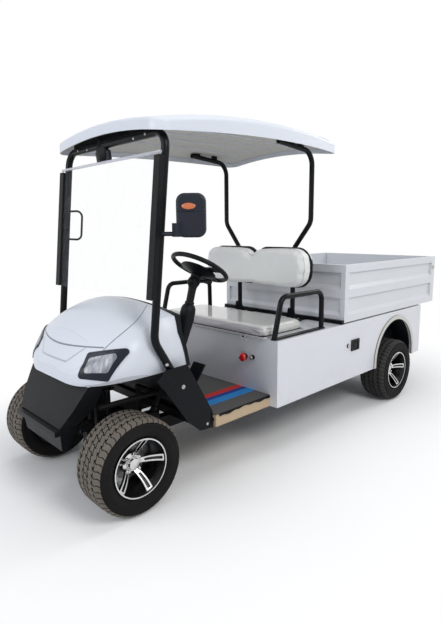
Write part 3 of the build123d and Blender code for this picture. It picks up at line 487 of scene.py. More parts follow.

# %% [markdown]
# ## The hood's lines
# The nose moulding has a curved joint across it, one along each flank, and a soft brow above the badge's place.
# They are a few millimetres wide and run over a doubly curved surface. Cutting them into the mesh would break
# its smooth curvature, so they are curves written in x, y and z that drive the relief, a darker tint in the
# joints and a painted shade along the brow's crease.

# %% Seams and brow as masks
SEAM_X, SEAM_CURVE, SEAM_HALF, SEAM_LOW = 1.466, 0.77, 0.305, 0.705
FLANK_Y, FLANK_MIDDLE, FLANK_CURVE = 0.332, 1.305, 2.48
FLANK_FRONT, FLANK_BACK, FLANK_LOW = 1.4, 1.08, 0.72
BROW_Z, BROW_FLAT, BROW_SLOPE, BROW_HALF, BROW_BACK = 0.683, 0.126, 0.8, 0.21, 1.42


def hood_lines(f):
    """Masks of the open joints, of the brow's crease, and of the step above the brow."""
    x, y, z = (f.axis(i) for i in range(3))
    front = (x - SEAM_X + y * y * SEAM_CURVE).size() + (y.size() > SEAM_HALF) + (z < SEAM_LOW)
    flank = ((y.size() - FLANK_Y + (x - FLANK_MIDDLE) * (x - FLANK_MIDDLE) * FLANK_CURVE).size()
             + (x > FLANK_FRONT) + (x < FLANK_BACK) + (z < FLANK_LOW))
    above = z - BROW_Z - f.maths("MAXIMUM", y.size() - BROW_FLAT, 0.0) * BROW_SLOPE
    joint = 1 - f.between(f.maths("MINIMUM", front, flank), 0.0012, 0.0026)
    crease = 1 - f.between(above.size() * 0.6 + (x < BROW_BACK) + (y.size() > BROW_HALF), 0.0, 0.006)
    step = f.between(above, -0.004, 0.004) * (x > BROW_BACK) * (y.size() < BROW_HALF)
    return joint, crease, step


print("hood lines: joint, crease, step")

# %% [markdown]
# ## White moulding
# The nose and the roof are one-piece plastic mouldings, glossier and bluer than the painted steel. Their inner
# faces are matt. A mask of the faces that look down makes them rougher and mixes in a darker grey there:
# painted shade on the undersides.

# %% White moulding for the nose and roof
def white_moulding(name, underside_shade_light, underside_shade_dark, seamed=False):
    f = Finish(name, Specular_IOR_Level=0.4, Coat_Roughness=0.15)
    cloud = f.noise(2.2, 4, 0.5)
    below = f.facing(2) < -0.35
    base = f.mix(cloud, tone(214, 218, 226), tone(205, 210, 220))
    # Painted shade: the faces that look down get this darker grey, mixed in by the mask below.
    inside = f.mix(f.noise(60, 3), underside_shade_light, underside_shade_dark)
    if seamed:
        joint, crease, step = hood_lines(f)
        base = f.mix(joint * 0.85, base, tone(96, 102, 112))
        # Painted shade: a darker grey along the brow's crease.
        base = f.mix(crease * 0.3, base, tone(150, 156, 166))
        f.bump(1 - joint, 0.003)
        f.bump(step, 0.006)
    f.feed(Base_Color=f.mix(below, base, inside), Roughness=0.34 + cloud * 0.12 + below * 0.3,
           Coat_Weight=0.14 - below * 0.14)
    f.bump(f.noise(350, 2), 0.0001)
    return f


# The darker greys given here are painted shade for the undersides.
roof_white = white_moulding("roof_white", tone(188, 186, 180), tone(176, 174, 169))
cowl_white = white_moulding("cowl_white", tone(190, 193, 200), tone(178, 181, 188), seamed=True)
told(roof_white, cowl_white)

# %% [markdown]
# ## Black finishes
# Four blacks stand side by side and must read as different stuff: powder-coated tube with a satin sheen,
# grained plastic with a broad soft highlight, chassis paint with dust in it, and matt battery boxes and mat
# edges. One function makes them all; only the tone, the roughness, the grain and the dust differ.

# %% Blacks
def black_coat(name, colour, low, high, grain, depth, dust, sheen):
    f = Finish(name, Specular_IOR_Level=sheen)
    cloud = f.noise(9, 5, 0.6)
    film = f.between(f.noise(26, 6, 0.7), 0.5, 0.85) * dust
    f.feed(Base_Color=f.mix(film, f.mix(cloud, colour, shade(colour, 1.5)), tone(120, 112, 100)),
           Roughness=low + cloud * (high - low) + film * 0.3)
    f.bump(f.noise(grain, 3), depth)
    return f


tube_black = black_coat("tube_black", tone(9, 11, 15), 0.18, 0.3, 900, 0.00012, 0.015, 0.13)
grained_black = black_coat("grained_black", tone(12, 14, 17), 0.36, 0.5, 650, 0.0004, 0.03, 0.14)
chassis_black = black_coat("chassis_black", tone(12, 12, 14), 0.4, 0.6, 300, 0.0005, 0.05, 0.14)
case_black = black_coat("case_black", tone(16, 16, 18), 0.5, 0.65, 240, 0.0003, 0.05, 0.12)
told(tube_black, grained_black, chassis_black, case_black)

# %% [markdown]
# ## The door mirror's plastic
# Blue-black and grained, and its lower half stands a step proud of the upper one. The step is straight and
# level, so one height mask in the relief draws it.

# %% Mirror plastic
MIRROR_STEP = 1.366, 1.374
mirror_plastic = clouded("mirror_shell", tone(20, 24, 34), tone(30, 34, 45), (9, 5, 0.6), (0.34, 0.14),
                         (650, 3, 0.0003), Specular_IOR_Level=0.25)
mirror_plastic.bump(1 - mirror_plastic.between(mirror_plastic.axis(2), *MIRROR_STEP), 0.008)
told(mirror_plastic)

# %% [markdown]
# ## Bare steel
# Knuckles and tie rod are forged and left bare. Forged metal is mottled: bright where it rubs and brown-grey
# elsewhere, so one noise drives both the colour and the roughness.

# %% Bare steel
steel = clouded("bare_steel", tone(150, 150, 152), tone(92, 88, 84), (18, 6, 0.65), (0.35, 0.3),
                (220, 4, 0.0003), Metallic=1.0)
told(steel)

# %% [markdown]
# ## Rubber
# Rubber is never plain black. The sidewall is dark and slightly bloomed; the running tread is scuffed to a warm
# grey. The rear tyres get a darker copy of the tread: painted shade, as they stand in the cart's own shade.

# %% Tyre rubber
def tyre_rubber():
    f = Finish("tyre_rubber", Specular_IOR_Level=0.1)
    cloud = f.noise(30, 6, 0.7)
    worn = f.between(f.noise(7, 4), 0.35, 0.75)
    f.feed(Base_Color=f.mix(cloud * 0.6 + worn * 0.4, tone(17, 17, 19), tone(34, 33, 33)),
           Roughness=0.62 + cloud * 0.2)
    f.bump(f.noise(700, 3), 0.0002)
    return f


side_rubber = tyre_rubber()
SCUFFED = {"cloud": (45, 6, 0.7), "rough": (0.75, 0.15), "grain": (500, 4, 0.0005), "Specular_IOR_Level": 0.3}
top_rubber = clouded("tread_rubber", tone(118, 110, 101), tone(80, 75, 70), **SCUFFED)
# A darker copy of the tread rubber for the rear tyres: painted shade.
shaded_rear_tread = clouded("shaded_rear_tread_rubber", tone(62, 61, 60), tone(40, 40, 41), **SCUFFED)
told(side_rubber, top_rubber, shaded_rear_tread)

# %% [markdown]
# ## Plywood
# The floor board shows its edge, where thin plies lie on each other. A wave along z, bent a little by noise and
# narrowed by a power, gives the dark glue lines; a stretched noise gives the fibre.

# %% Plywood with its plies on the edge
def plywood():
    f = Finish("plywood", Specular_IOR_Level=0.3)
    wavy = f.noise(5, 3, 0.5, (1, 1, 6))
    plies = ((f.axis(2) * 1900 + wavy * 3).wave() * 0.5 + 0.5) ** 3
    fibre = f.noise(40, 6, 0.7, (1, 12, 30))
    base = f.mix(fibre, tone(206, 187, 160), tone(176, 152, 122))
    f.feed(Base_Color=f.mix(plies * 0.45, base, tone(122, 98, 76)), Roughness=0.6 + fibre * 0.2)
    f.bump(fibre, 0.0006)
    return f


floor_ply = plywood()
told(floor_ply)

# %% [markdown]
# ## Floor mat
# Grey ribbed rubber with a red, a dark blue and a light blue stripe along each edge. The stripes are straight,
# so their edges are plain comparisons on y, and both sides come from one loop.

# %% Striped floor mat
STRIPES = ((0.235, 0.285, tone(196, 48, 44)), (0.285, 0.32, tone(28, 58, 140)),
           (0.32, 0.385, tone(38, 132, 205)))
RIBS_PER_METRE = 1250


def striped_mat():
    f = Finish("striped_mat", Specular_IOR_Level=0.35)
    y = f.axis(1)
    grit = f.noise(260, 4, 0.7)
    colour = f.mix(grit, tone(70, 70, 71), tone(92, 91, 90))
    for low, high, paint in STRIPES:
        for side in (1, -1):
            band = ((y * side) > low) * ((y * side) < high)
            colour = f.mix(band, colour, f.mix(grit, paint, shade(paint, 0.78)))
    f.feed(Base_Color=colour, Roughness=0.7 + grit * 0.15)
    f.bump((y * RIBS_PER_METRE).wave() * 0.5 + grit * 0.6, 0.0006)
    return f


mat_rubber = striped_mat()
told(mat_rubber)

# %% [markdown]
# ## Windscreen
# A clear acrylic sheet. It is hardly there: a breath of dust, and along its side edges a pale, more opaque band:
# a painted highlight of the glowing cut edge. A low alpha shows that better than full glass, which would double
# every edge behind it.

# %% Clear sheet
SCREEN_EDGE_GLOW = 0.4595, 0.4625


def clear_sheet():
    f = Finish("clear_sheet", IOR=1.46, Specular_IOR_Level=0.3)
    dust = f.between(f.noise(14, 6, 0.6), 0.45, 0.9)
    # Painted highlight: a pale band along the sheet's side edges, made more opaque.
    rim = f.between(f.axis(1).size(), *SCREEN_EDGE_GLOW)
    f.feed(Base_Color=f.mix(dust, tone(226, 232, 238), tone(206, 214, 222)),
           Alpha=0.02 + dust * 0.03 + rim * 0.35, Roughness=0.03 + dust * 0.06)
    f.material.surface_render_method = "BLENDED"
    return f


screen_sheet = clear_sheet()
told(screen_sheet)

# %% [markdown]
# ## Lamps
# The lamp's cover shows the broken mirror of its reflector behind it. Voronoi cells, stretched a little, paint
# those mirror facets and their light and dark reflections into the cover's colour: a painted reflection, without
# modelling the inside. The frame round it is smooth dark blue plastic.

# %% Lamp glass and its frame
def lamp_glass():
    f = Finish("lamp_glass", IOR=1.49)
    facets = f.cells(38, "F1", (1, 1.6, 0.5))
    cloud = f.noise(24, 3)
    # Painted reflection: the reflector's bright and dark mirror facets, drawn into the cover's colour.
    glow = f.between(f.noise(18, 4), 0.3, 0.75)
    bright = f.mix(glow, tone(182, 184, 190), tone(134, 138, 148))
    f.feed(Base_Color=f.mix(facets, bright, tone(92, 96, 106)), Metallic=0.1, Roughness=0.22 + cloud * 0.12,
           Coat_Weight=0.35)
    f.bump(facets, 0.0025)
    return f


lamp_cover = lamp_glass()
lamp_frame = clouded("lamp_bezel", tone(14, 19, 30), tone(24, 31, 45), (12, 4, 0.5), (0.26, 0.15),
                     (300, 2, 0.0001), Specular_IOR_Level=0.2, Coat_Weight=0.08)
told(lamp_cover, lamp_frame)

# %% [markdown]
# ## Coloured lenses
# Tail lamps and the mirror's marker are tinted plastic with fine level rows moulded inside. A wave along z
# drives both the tint and a slight relief.

# %% Red and amber
def lens(name, colour):
    f = Finish(name, IOR=1.49)
    rows = ((f.axis(2) * 900).wave() * 0.5 + 0.5)
    cloud = f.noise(30, 3)
    f.feed(Base_Color=f.mix(cloud * 0.6 + rows * 0.3, colour, shade(colour, 0.55)),
           Roughness=0.1 + cloud * 0.08, Coat_Weight=0.8)
    f.bump(rows, 0.0004)
    return f


red_lens, amber_lens = lens("red_lens", tone(176, 26, 22)), lens("amber_lens", tone(214, 110, 52))
told(red_lens, amber_lens)

# %% [markdown]
# ## Boards behind the cushions
# Both boards are black, with pale cover pulled round an edge: the bench's over its front, the back's over its
# top. A mask by place or by direction changes colour and roughness together, and no extra piece is needed.

# %% Board under the bench
BOARD_FRONT, BOARD_HALF = 0.474, 0.461


def wrapped_board():
    f = Finish("wrapped_board", Specular_IOR_Level=0.4)
    edge = f.maths("MAXIMUM", f.axis(0) - BOARD_FRONT, f.axis(1).size() - BOARD_HALF)
    front, cloud = f.between(edge, 0.0, 0.004), f.noise(14, 4)
    f.feed(Base_Color=f.mix(front, tone(18, 19, 22), f.mix(cloud, tone(196, 196, 196), tone(168, 168, 170))),
           Roughness=0.5 - front * 0.25 + cloud * 0.1)
    f.bump(f.noise(60, 4, 0.6, (1, 0.3, 2)), 0.002)
    return f


bench_wrap = wrapped_board()
told(bench_wrap)

# %% Board behind the back rest
def back_board():
    f = Finish("back_board", Specular_IOR_Level=0.3)
    cover = f.between(f.facing(2), 0.25, 0.4) * (f.axis(2) > 1.05) * (f.axis(0) > -0.046)
    cloud = f.noise(14, 4)
    f.feed(Base_Color=f.mix(cover, tone(18, 19, 22), f.mix(cloud, tone(226, 228, 228), tone(212, 214, 215))),
           Roughness=0.46 - cover * 0.1 + cloud * 0.1)
    f.bump(f.noise(650, 3), 0.0004)
    return f


back_wrap = back_board()
told(back_wrap)

# %% [markdown]
# ## Trim of the wheel arches
# A white lip outside and tan rubber on the edge inside the arch. The lip is the part that faces the side, so
# the surface direction tells them apart.

# %% Arch trim
def arch_strip():
    f = Finish("arch_strip")
    outwards = f.facing(1).size() > 0.8
    cloud = f.noise(40, 5, 0.7)
    rubber = f.mix(cloud, tone(128, 112, 74), tone(80, 70, 46))
    f.feed(Base_Color=f.mix(outwards, rubber, f.mix(cloud, tone(208, 208, 204), tone(190, 190, 186))),
           Roughness=0.42 + cloud * 0.25)
    f.bump(f.noise(260, 3), 0.0004)
    return f


arch_trim = arch_strip()
told(arch_trim)

# %% [markdown]
# ## Dressing the measured parts
# The parts keep their shape. Each only gets the finish of what it is made of, from one table, so that a missing
# part shows at once. The parts that hand-made pieces stand for further down are not in the table.

# %% Finish of every CAD part
finish_of = {
    panel_white: ("deck", "side_panels", "seat_front_panel"),
    box_white: ("cargo_floor", "cargo_front", "cargo_sides", "tailgate"),
    roof_white: ("roof",),
    cowl_white: ("front_cowl",),
    tube_black: ("armrests", "front_hoop", "rear_posts", "pedals", "side_plates"),
    grained_black: ("dashboard", "front_panel", "screen_strips", "steering_wheel", "wheelhouses", "toe_board",
                    "body_fittings"),
    chassis_black: ("chassis_frame", "cross_members", "nose_frame", "spring_towers", "front_arms",
                    "front_shocks", "rear_axle", "rear_springs"),
    case_black: ("battery_pack",),
    mirror_plastic: ("mirrors",),
    steel: ("knuckle_left", "knuckle_right", "tie_rod"),
    floor_ply: ("floor_board",),
    mat_rubber: ("floor_mat",),
    screen_sheet: ("windscreen",),
    lamp_cover: ("headlamp_lenses",),
    lamp_frame: ("headlamp_bezels",),
    red_lens: ("tail_lamps",),
    arch_trim: ("arch_trims",),
    bench_wrap: ("seat_board",),
    back_wrap: ("seat_back_board",),
}
for finish, names in finish_of.items():
    for name in names:
        dress(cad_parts[name], finish)
bare = set(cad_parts) - {name for names in finish_of.values() for name in names}
print("left for hand-made pieces:", sorted(bare))

# %% [markdown]
# ## Camera
# It stands in front on the driver's side at the height of the roof's edge, and looks slightly down at the cart.
# The small shift moves the frame without turning the view.

# %% Camera
bpy.ops.object.camera_add(location=(2.474335, 2.221969, 1.286535),
                          rotation=[radians(v) for v in (80.48811, 0.32276, 135.02993)])
camera = bpy.context.object
camera.data.lens, camera.data.sensor_width = 27.555, 36
camera.data.shift_x, camera.data.shift_y = -0.01965, -0.00239
camera.data.clip_start, camera.data.clip_end = 0.05, 200
bpy.context.scene.camera = camera
print("camera lens", round(camera.data.lens, 2), "mm")

# %% [markdown]
# ## A white that lights nothing
# The backdrop should be pure white, but a floor and a sky that bright would wash out the cart. The Light Path
# node tells what a ray is for. White is shown where the camera, a reflection or clear glass looks, and the
# light that falls on the cart stays soft.

# %% What looks at the backdrop
def plain_view(nodes):
    """1 where the camera, a gloss or clear glass looks, 0 for the light that falls on things."""
    rays = [nodes.node("LightPath", {}, {}, ray)
            for ray in ("Is Camera Ray", "Is Glossy Ray", "Is Transmission Ray")]
    return nodes.maths("MAXIMUM", nodes.maths("MAXIMUM", rays[0], rays[1]), rays[2])


print("backdrop: plain_view")

# %% [markdown]
# ## Floor
# Near the cart the floor is a pale matt surface that catches the shadow. Further out it fades to plain white,
# over an oval as long as the cart, so that no edge of the floor shows.

# %% Floor
FADE_START, FADE_END = 0.95, 1.9

bpy.ops.mesh.primitive_plane_add(size=60, location=(0, 0, 0))
floor = bpy.context.object
floor.name = "studio_floor"
pale = Finish("studio_floor", Roughness=0.9, Specular_IOR_Level=0.1)
oval = pale.node("Mapping", {}, {"Vector": pale.place(), "Scale": (0.62, 1, 1)})
away = pale.node("VectorMath", {"operation": "LENGTH"}, {0: oval}, 1)
pale.feed(Base_Color=pale.mix(pale.noise(3, 3), tone(250, 250, 250), tone(252, 252, 252)))
glow = pale.node("Emission", {}, {"Color": (1.0, 1.0, 1.0), "Strength": 1.0})
fading = pale.node("MixShader", {}, {0: pale.between(away, FADE_START, FADE_END) * plain_view(pale),
                                     1: Wire(pale, pale.shader.outputs[0]), 2: glow})
pale.join(fading, pale.tree.nodes["Material Output"].inputs["Surface"])
floor.data.materials.append(pale.material)
told(pale)

# %% [markdown]
# ## Sky
# A studio could be closed by walls, but those would catch shadows in other views. Instead the world itself is
# white to look at, and for light it is a weak, slightly blue sky.

# %% World
world = bpy.context.scene.world or bpy.data.worlds.new("studio")
bpy.context.scene.world = world
world.use_nodes = True
sky = Nodes(world.node_tree)
sky.tree.nodes.clear()
shown = sky.node("Background", {}, {"Color": (1.0, 1.0, 1.0), "Strength": 1.0})
lit = sky.node("Background", {}, {"Color": (0.915, 0.95, 1.0), "Strength": 0.46})
choice = sky.node("MixShader", {}, {0: plain_view(sky), 1: lit, 2: shown})
sky.node("OutputWorld", {}, {"Surface": choice})
print("world has", len(sky.tree.nodes), "nodes")

# %% [markdown]
# ## Lamps
# A long soft studio: a big key light in front on the driver's side, a weaker fill ahead, a strip behind for the
# roof's edge, and one overhead. The key is wide, because a small lamp would leave a hard spot on the curved
# hood.

# %% Lamps
def soft_light(name, place, look_at, width, watts, colour=(1, 1, 1)):
    place = Vector(place)
    turn = (Vector(look_at) - place).to_track_quat("-Z", "Y").to_euler()
    bpy.ops.object.light_add(type="AREA", location=place, rotation=turn)
    lamp = bpy.context.object
    lamp.name = name
    lamp.data.shape, lamp.data.size, lamp.data.energy, lamp.data.color = "DISK", width, watts, colour
    print(name, watts, "W,", width, "m wide")


soft_light("key", (1.2, 4.4, 4.2), (0, 0, 0.7), 2.4, 122, (1, 0.99, 0.97))
soft_light("front_fill", (5.2, -0.6, 2.6), (0.6, 0, 0.8), 3.0, 80, (0.94, 0.965, 1))
soft_light("rear_strip", (-4.2, 1.5, 3.6), (-0.6, 0, 1.0), 2.5, 50)
soft_light("top", (0, 0, 5.2), (0, 0, 0), 4.0, 42)
bpy.context.scene.view_settings.view_transform = "Standard"

# %% [markdown]
# ## Tyre section and tread pattern
# The carcass is turned from half a section, which is mirrored about its middle. The tread has five ribs. Each
# row of TREAD_RIBS gives a rib's two edges across the tyre and the slant of its blocks, as a share of their
# pitch.

# %% Tyre section and block sizes
TYRE_RADIUS, BELT_PITCHES, GROOVE_DEEP, SHOULDER = 0.229, 46, 0.007, 0.07
TYRE_SECTION = [(0.1395, 0.083), (0.150, 0.0935), (0.1535, 0.0962), (0.1545, 0.0955), (0.163, 0.0993),
                (0.180, 0.1015), (0.1815, 0.1006), (0.193, 0.1008), (0.1945, 0.1014), (0.204, 0.0985),
                (0.213, 0.0925), (0.2185, 0.083), (0.2212, 0.06), (0.2218, 0.0)]
TREAD_RIBS = [(-0.0975, -0.0585, -0.34), (-0.0525, -0.0205, 0.55), (-0.015, 0.015, -0.6),
              (0.0205, 0.0525, 0.55), (0.0585, 0.0975, -0.34)]
PITCH = 2 * pi * TYRE_RADIUS / BELT_PITCHES
print("one pitch of the tread is", round(PITCH * 1000, 1), "mm")

# %% [markdown]
# ## One block of a rib
# The tread is drawn flat, as a tyre maker draws it. A block is a small grid with depth, leant by its slant, and
# its grooves wave, so its flanks are S-shaped. An Array repeats it once round the belt: one block is modelled,
# and all 230 are the same.

# %% One block, repeated along the belt
GROOVE_WIDE, GROOVE_WAVE, S_SHAPE = 0.0046, 0.0042, 0.16


def flat_rib(name, v_low, v_high, slant):
    """One block on the flat belt, x along the roll and y across, repeated once round."""
    rib = extruded(sheet(name, 5, 5, (PITCH / 2, (v_low + v_high) / 2, -GROOVE_DEEP), 1,
                         (PITCH - GROOVE_WIDE, v_high - v_low, 1)), (0, 0, GROOVE_DEEP))
    for point in rib.data.vertices:
        x, y, z = point.co
        across = (y - v_low) / (v_high - v_low) - 0.5
        edge = max(0.0, abs(y) - SHOULDER) / 0.03
        point.co = (x + slant * PITCH * across + S_SHAPE * PITCH * sin(2 * pi * across),
                    y + GROOVE_WAVE * (1 - edge) * sin(2 * pi * x / PITCH), z)
    return apply_modifier(rib, "ARRAY", count=BELT_PITCHES, use_relative_offset=False,
                          use_constant_offset=True, constant_offset_displace=(PITCH, 0, 0))


belt = joined("belt", [flat_rib("rib", *row) for row in TREAD_RIBS])
print("flat belt", [round(v, 3) for v in belt.dimensions], "m")

# %% [markdown]
# ## Wrapping the belt
# Every point's run along the belt becomes an angle and its depth a radius. The belt is crowned a little, and
# falls away at the shoulders. The tops of the blocks are worn rubber, the groove walls are dark.

# %% Belt and carcass, made once
BELT_SINK, BELT_BULGE, SHOULDER_FALL = 0.0006, 0.0006, 19
belt.data.materials.append(top_rubber.material)
belt.data.materials.append(side_rubber.material)
for face in belt.data.polygons:
    face.material_index = 0 if face.center.z > -0.0005 else 1
for point in belt.data.vertices:
    x, y, z = point.co
    turn = x / TYRE_RADIUS
    fall = BELT_BULGE * (y / 0.05) ** 2 + SHOULDER_FALL * max(0.0, abs(y) - SHOULDER) ** 2
    reach = TYRE_RADIUS - BELT_SINK - fall + z
    point.co = reach * cos(turn), y, reach * sin(turn)
smooth(belt, 35)

carcass = lathe("carcass", TYRE_SECTION + [(r, -w) for r, w in TYRE_SECTION[-2::-1]], (0, 0, 0), (0, 1, 0), 112)
smooth(carcass, 40)
dress(carcass, side_rubber)
print("carcass faces", len(carcass.data.polygons), "belt faces", len(belt.data.polygons))

# %% [markdown]
# ## Finishes of the wheel
# The casting is sprayed gloss black, and then its outer faces are turned bright on a lathe. The cutter leaves
# fine rings round the axle: a wave on the distance from the wheel's middle.

# %% The two finishes of a wheel
def turned_alloy():
    f = Finish("turned_alloy", Metallic=1.0)
    radius = f.node("VectorMath", {"operation": "LENGTH"}, {0: f.place()}, 1)
    rings = (radius * 4200).wave() * 0.5 + 0.5
    cloud = f.noise(35, 5)
    f.feed(Base_Color=f.mix(rings * 0.3 + cloud * 0.5, tone(236, 236, 238), tone(176, 174, 172)),
           Roughness=0.14 + cloud * 0.14)
    f.bump(rings, 0.00003)
    return f


wheel_dark = clouded("wheel_black", tone(8, 8, 10), tone(20, 20, 22), (35, 5, 0.5), (0.22, 0.15),
                     (260, 2, 0.0001), Specular_IOR_Level=0.4, Coat_Weight=0.3, Coat_Roughness=0.1)
wheel_bright = turned_alloy()
told(wheel_dark, wheel_bright)

# %% [markdown]
# ## Two tones on one casting
# The black and the bright metal meet along the edges of the faces, so the finish is chosen face by face.

# %% Two tones
def two_tone(piece, is_bright):
    """Black all over, with the faces that pass the rule in bright metal."""
    piece.data.materials.clear()
    piece.data.materials.append(wheel_dark.material)
    piece.data.materials.append(wheel_bright.material)
    for face in piece.data.polygons:
        face.material_index = 1 if is_bright(face) else 0
    return piece


print("wheel helper: two_tone")

# %% [markdown]
# ## One twin spoke
# Five spokes, each slotted down its middle, fall back from the rim to the hub. One is shaped flat: a grid with
# depth, whose middle row of faces is pushed in for the slot. Then its points are bent back along the dish and
# widened towards the rim.

# %% One twin spoke
LIP_RADIUS, FACE_OUT, HUB_OUT, HUB_RADIUS, SPOKES = 0.1385, 0.094, 0.012, 0.03, 5
SPOKE_MIDDLE, SPOKE_LONG, SPOKE_WIDE, SPOKE_THICK, SLOT_DEEP = 0.0835, 0.105, 0.033, 0.015, 0.011


def in_slot(face):
    at = face.calc_center_median()
    return face.normal.z > 0.9 and abs(at.y) < 0.005 and 0.05 < at.x < 0.124


def twin_spoke():
    spoke = sheet("spoke", 9, 3, (SPOKE_MIDDLE, 0, 0), 1, (SPOKE_LONG, SPOKE_WIDE, 1))
    for point in spoke.data.vertices:
        if abs(point.co.y) < 0.01:
            point.co.y *= 1.3
    extruded(spoke, (0, 0, SPOKE_THICK))
    pick(spoke, "FACE", in_slot)
    bpy.ops.mesh.extrude_region_move(TRANSFORM_OT_translate={"value": (0, 0, -SLOT_DEEP)})
    bpy.ops.object.mode_set(mode="OBJECT")
    two_tone(spoke, lambda face: face.center.z > SPOKE_THICK - 0.0005 and face.normal.z > 0.9)
    rounded(spoke, 0.0012, 2, 50)
    for point in spoke.data.vertices:
        r, across, z = point.co
        t = (r - HUB_RADIUS) / (LIP_RADIUS - HUB_RADIUS)
        back = HUB_OUT + (FACE_OUT - 0.007 - HUB_OUT) * max(0.0, t) ** 0.85
        point.co = r, across * (0.72 + 0.36 * t) + 0.006 * sin(pi * t), back + z - 0.012
    return spoke


first_spoke = twin_spoke()
print("spoke faces", len(first_spoke.data.polygons))

# %% [markdown]
# ## Barrel and hub
# The barrel is the deep black well with a bright outer lip; the hub carries the chrome cap. Both are turned
# from their sections, written as radius and distance along the axle.

# %% Barrel and hub
FIRST_SPOKE, AXLE = 182, (0, 1, 0)
BARREL = [(0.116, -0.05), (0.118, 0.03), (0.126, 0.07), (0.1315, 0.0885), (0.1325, FACE_OUT),
          (LIP_RADIUS, FACE_OUT), (0.139, 0.086), (0.134, 0.075), (0.124, 0.05), (0.122, -0.05), (0.134, -0.082),
          (0.139, -0.088), (0.139, -0.094), (0.134, -0.094), (0.125, -0.08), (0.116, -0.05)]
HUB = [(0.0, -0.008), (0.05, -0.008), (0.053, 0.0), (0.050, 0.016), (0.036, 0.022), (0.030, 0.020),
       (0.029, 0.030), (0.026, 0.038), (0.012, 0.042), (0.0, 0.043)]


def bright_on_hub(face):
    in_cap = (face.center.x ** 2 + face.center.z ** 2) ** 0.5 < 0.0295
    return in_cap or face.normal.y > 0.6 and face.center.y > 0.01


arms = []
for number in range(SPOKES):
    arm = copy_of(first_spoke, "arm")
    arm.data.transform(Matrix.Rotation(radians(FIRST_SPOKE + 360 / SPOKES * number), 4, "Y")
                       @ Matrix.Rotation(-pi / 2, 4, "X"))
    arms.append(arm)
bpy.data.objects.remove(first_spoke)
barrel = two_tone(lathe("barrel", BARREL, (0, 0, 0), AXLE, 80),
                  lambda face: face.normal.y > 0.85 and face.center.y > FACE_OUT - 0.002)
hub = two_tone(lathe("hub", HUB, (0, 0, 0), AXLE, 48), bright_on_hub)
print("barrel faces", len(barrel.data.polygons), "hub faces", len(hub.data.polygons))

# %% [markdown]
# ## Wheel nuts
# Four hexagon nuts with domed ends stand in a circle round the cap. A cylinder with six sides is a hexagon
# already, and its dome is turned. An Array round an empty could repeat them, but placing each by its angle in a
# loop leaves plain meshes to join.

# %% Nuts, and the whole wheel
NUT_CIRCLE, NUTS = 0.0405, 4


def wheel_nut(number):
    angle = pi / 4 + 2 * pi / NUTS * number
    at = Vector((NUT_CIRCLE * cos(angle), 0.014, NUT_CIRCLE * sin(angle)))
    nut = cylinder("nut", at, at + Vector((0, 0.017, 0)), 0.0085, 6)
    rounded(nut, 0.0012, 2)
    cap = lathe("nut_cap", [(0.0, 0.024), (0.004, 0.0232), (0.0066, 0.020), (0.007, 0.016)], at, AXLE, 16)
    return [two_tone(part, lambda face: True) for part in (nut, cap)]


nuts = [part for number in range(NUTS) for part in wheel_nut(number)]
wheel = smooth(joined("wheel", arms + [barrel, hub] + nuts), 32)
print("wheel faces", len(wheel.data.polygons))

# %% [markdown]
# ## Four corners
# Carcass, belt and wheel were each made once, round the origin. Every corner gets its own copies, moved to the
# middle of the measured tyre, turned half round on the right side, and riding on its wheel's body.

# %% Tyres and wheels in their four places
def placed(template, name, centre, side):
    """A copy of a piece made round the origin, moved to centre, and turned half round for the right side."""
    twin = copy_of(template, name)
    twin.data.transform(Matrix.Translation(centre) @ Matrix.Rotation(0 if side > 0 else pi, 4, "Z"))
    return twin


for corner in ("front_left", "front_right", "rear_left", "rear_right"):
    low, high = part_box("tyre_" + corner)
    centre, side = (low + high) / 2, 1 if low.y + high.y > 0 else -1
    for template, name, slot, stands_for in ((carcass, "carcass_", "tyre_rubber", "tyre_"),
                                             (belt, "tread_", "tyre_rubber", None),
                                             (wheel, "alloy_", "wheel_alloy", "rim_")):
        piece = placed(template, name + corner, centre, side)
        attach(piece, "wheel_" + corner)
        if stands_for:
            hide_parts(stands_for + corner)
        elif corner.startswith("rear"):
            # The rear treads take the darker copy: painted shade.
            piece.material_slots[0].material = shaded_rear_tread.material
    print(corner, "at", [round(v, 3) for v in centre])
for template in (carcass, belt, wheel):
    bpy.data.objects.remove(template)

# %% [markdown]
# ## Padded covers
# Each cushion starts as its sewn cover, a little too small. A cloth simulation with air pressure inside swells
# it, the swelling is held to what a firm foam would give, and one subdivision smooths the skin. Vertex
# sculpting could fake it, but the simulation spreads the swelling as real cloth does.

# %% Swelling a cover
def padded(piece, voxel, most, low, high):
    """Remeshes a cover, blows it up, and keeps it within most (x, y, z) of its start and inside low to high."""
    apply_modifier(piece, "REMESH", mode="VOXEL", voxel_size=voxel, use_smooth_shade=True)
    start = [point.co.copy() for point in piece.data.vertices]
    cloth = piece.modifiers.new("Cloth", "CLOTH")
    cloth.settings.use_pressure = True
    cloth.settings.uniform_pressure_force = 4.0
    cloth.settings.effector_weights.gravity = 0.0
    cloth.point_cache.frame_start, cloth.point_cache.frame_end = 1, 20
    for moment in range(1, 21):
        bpy.context.scene.frame_set(moment)
    only(piece)
    bpy.ops.object.modifier_apply(modifier=cloth.name)
    bpy.context.scene.frame_set(1)
    for point, was in zip(piece.data.vertices, start):
        point.co = [was[i] + min(max(point.co[i] - was[i], -most[i]), most[i]) for i in range(3)]
    low, high = Vector(low), Vector(high)
    for point in piece.data.vertices:
        point.co = [min(max(point.co[i], low[i]), high[i]) for i in range(3)]
    apply_modifier(piece, "SMOOTH", factor=0.5, iterations=4)
    apply_modifier(piece, "SUBSURF", levels=1)
    only(piece)
    bpy.ops.object.shade_smooth()
    return piece


def dent(distance, depth, width):
    """As deep as depth in the middle, easing to nothing two widths away."""
    return depth * 2.718 ** -((distance / width) ** 2)


SKIN = Vector((0.0005, 0.0005, 0.0005))
print("cushions: padded, dent")

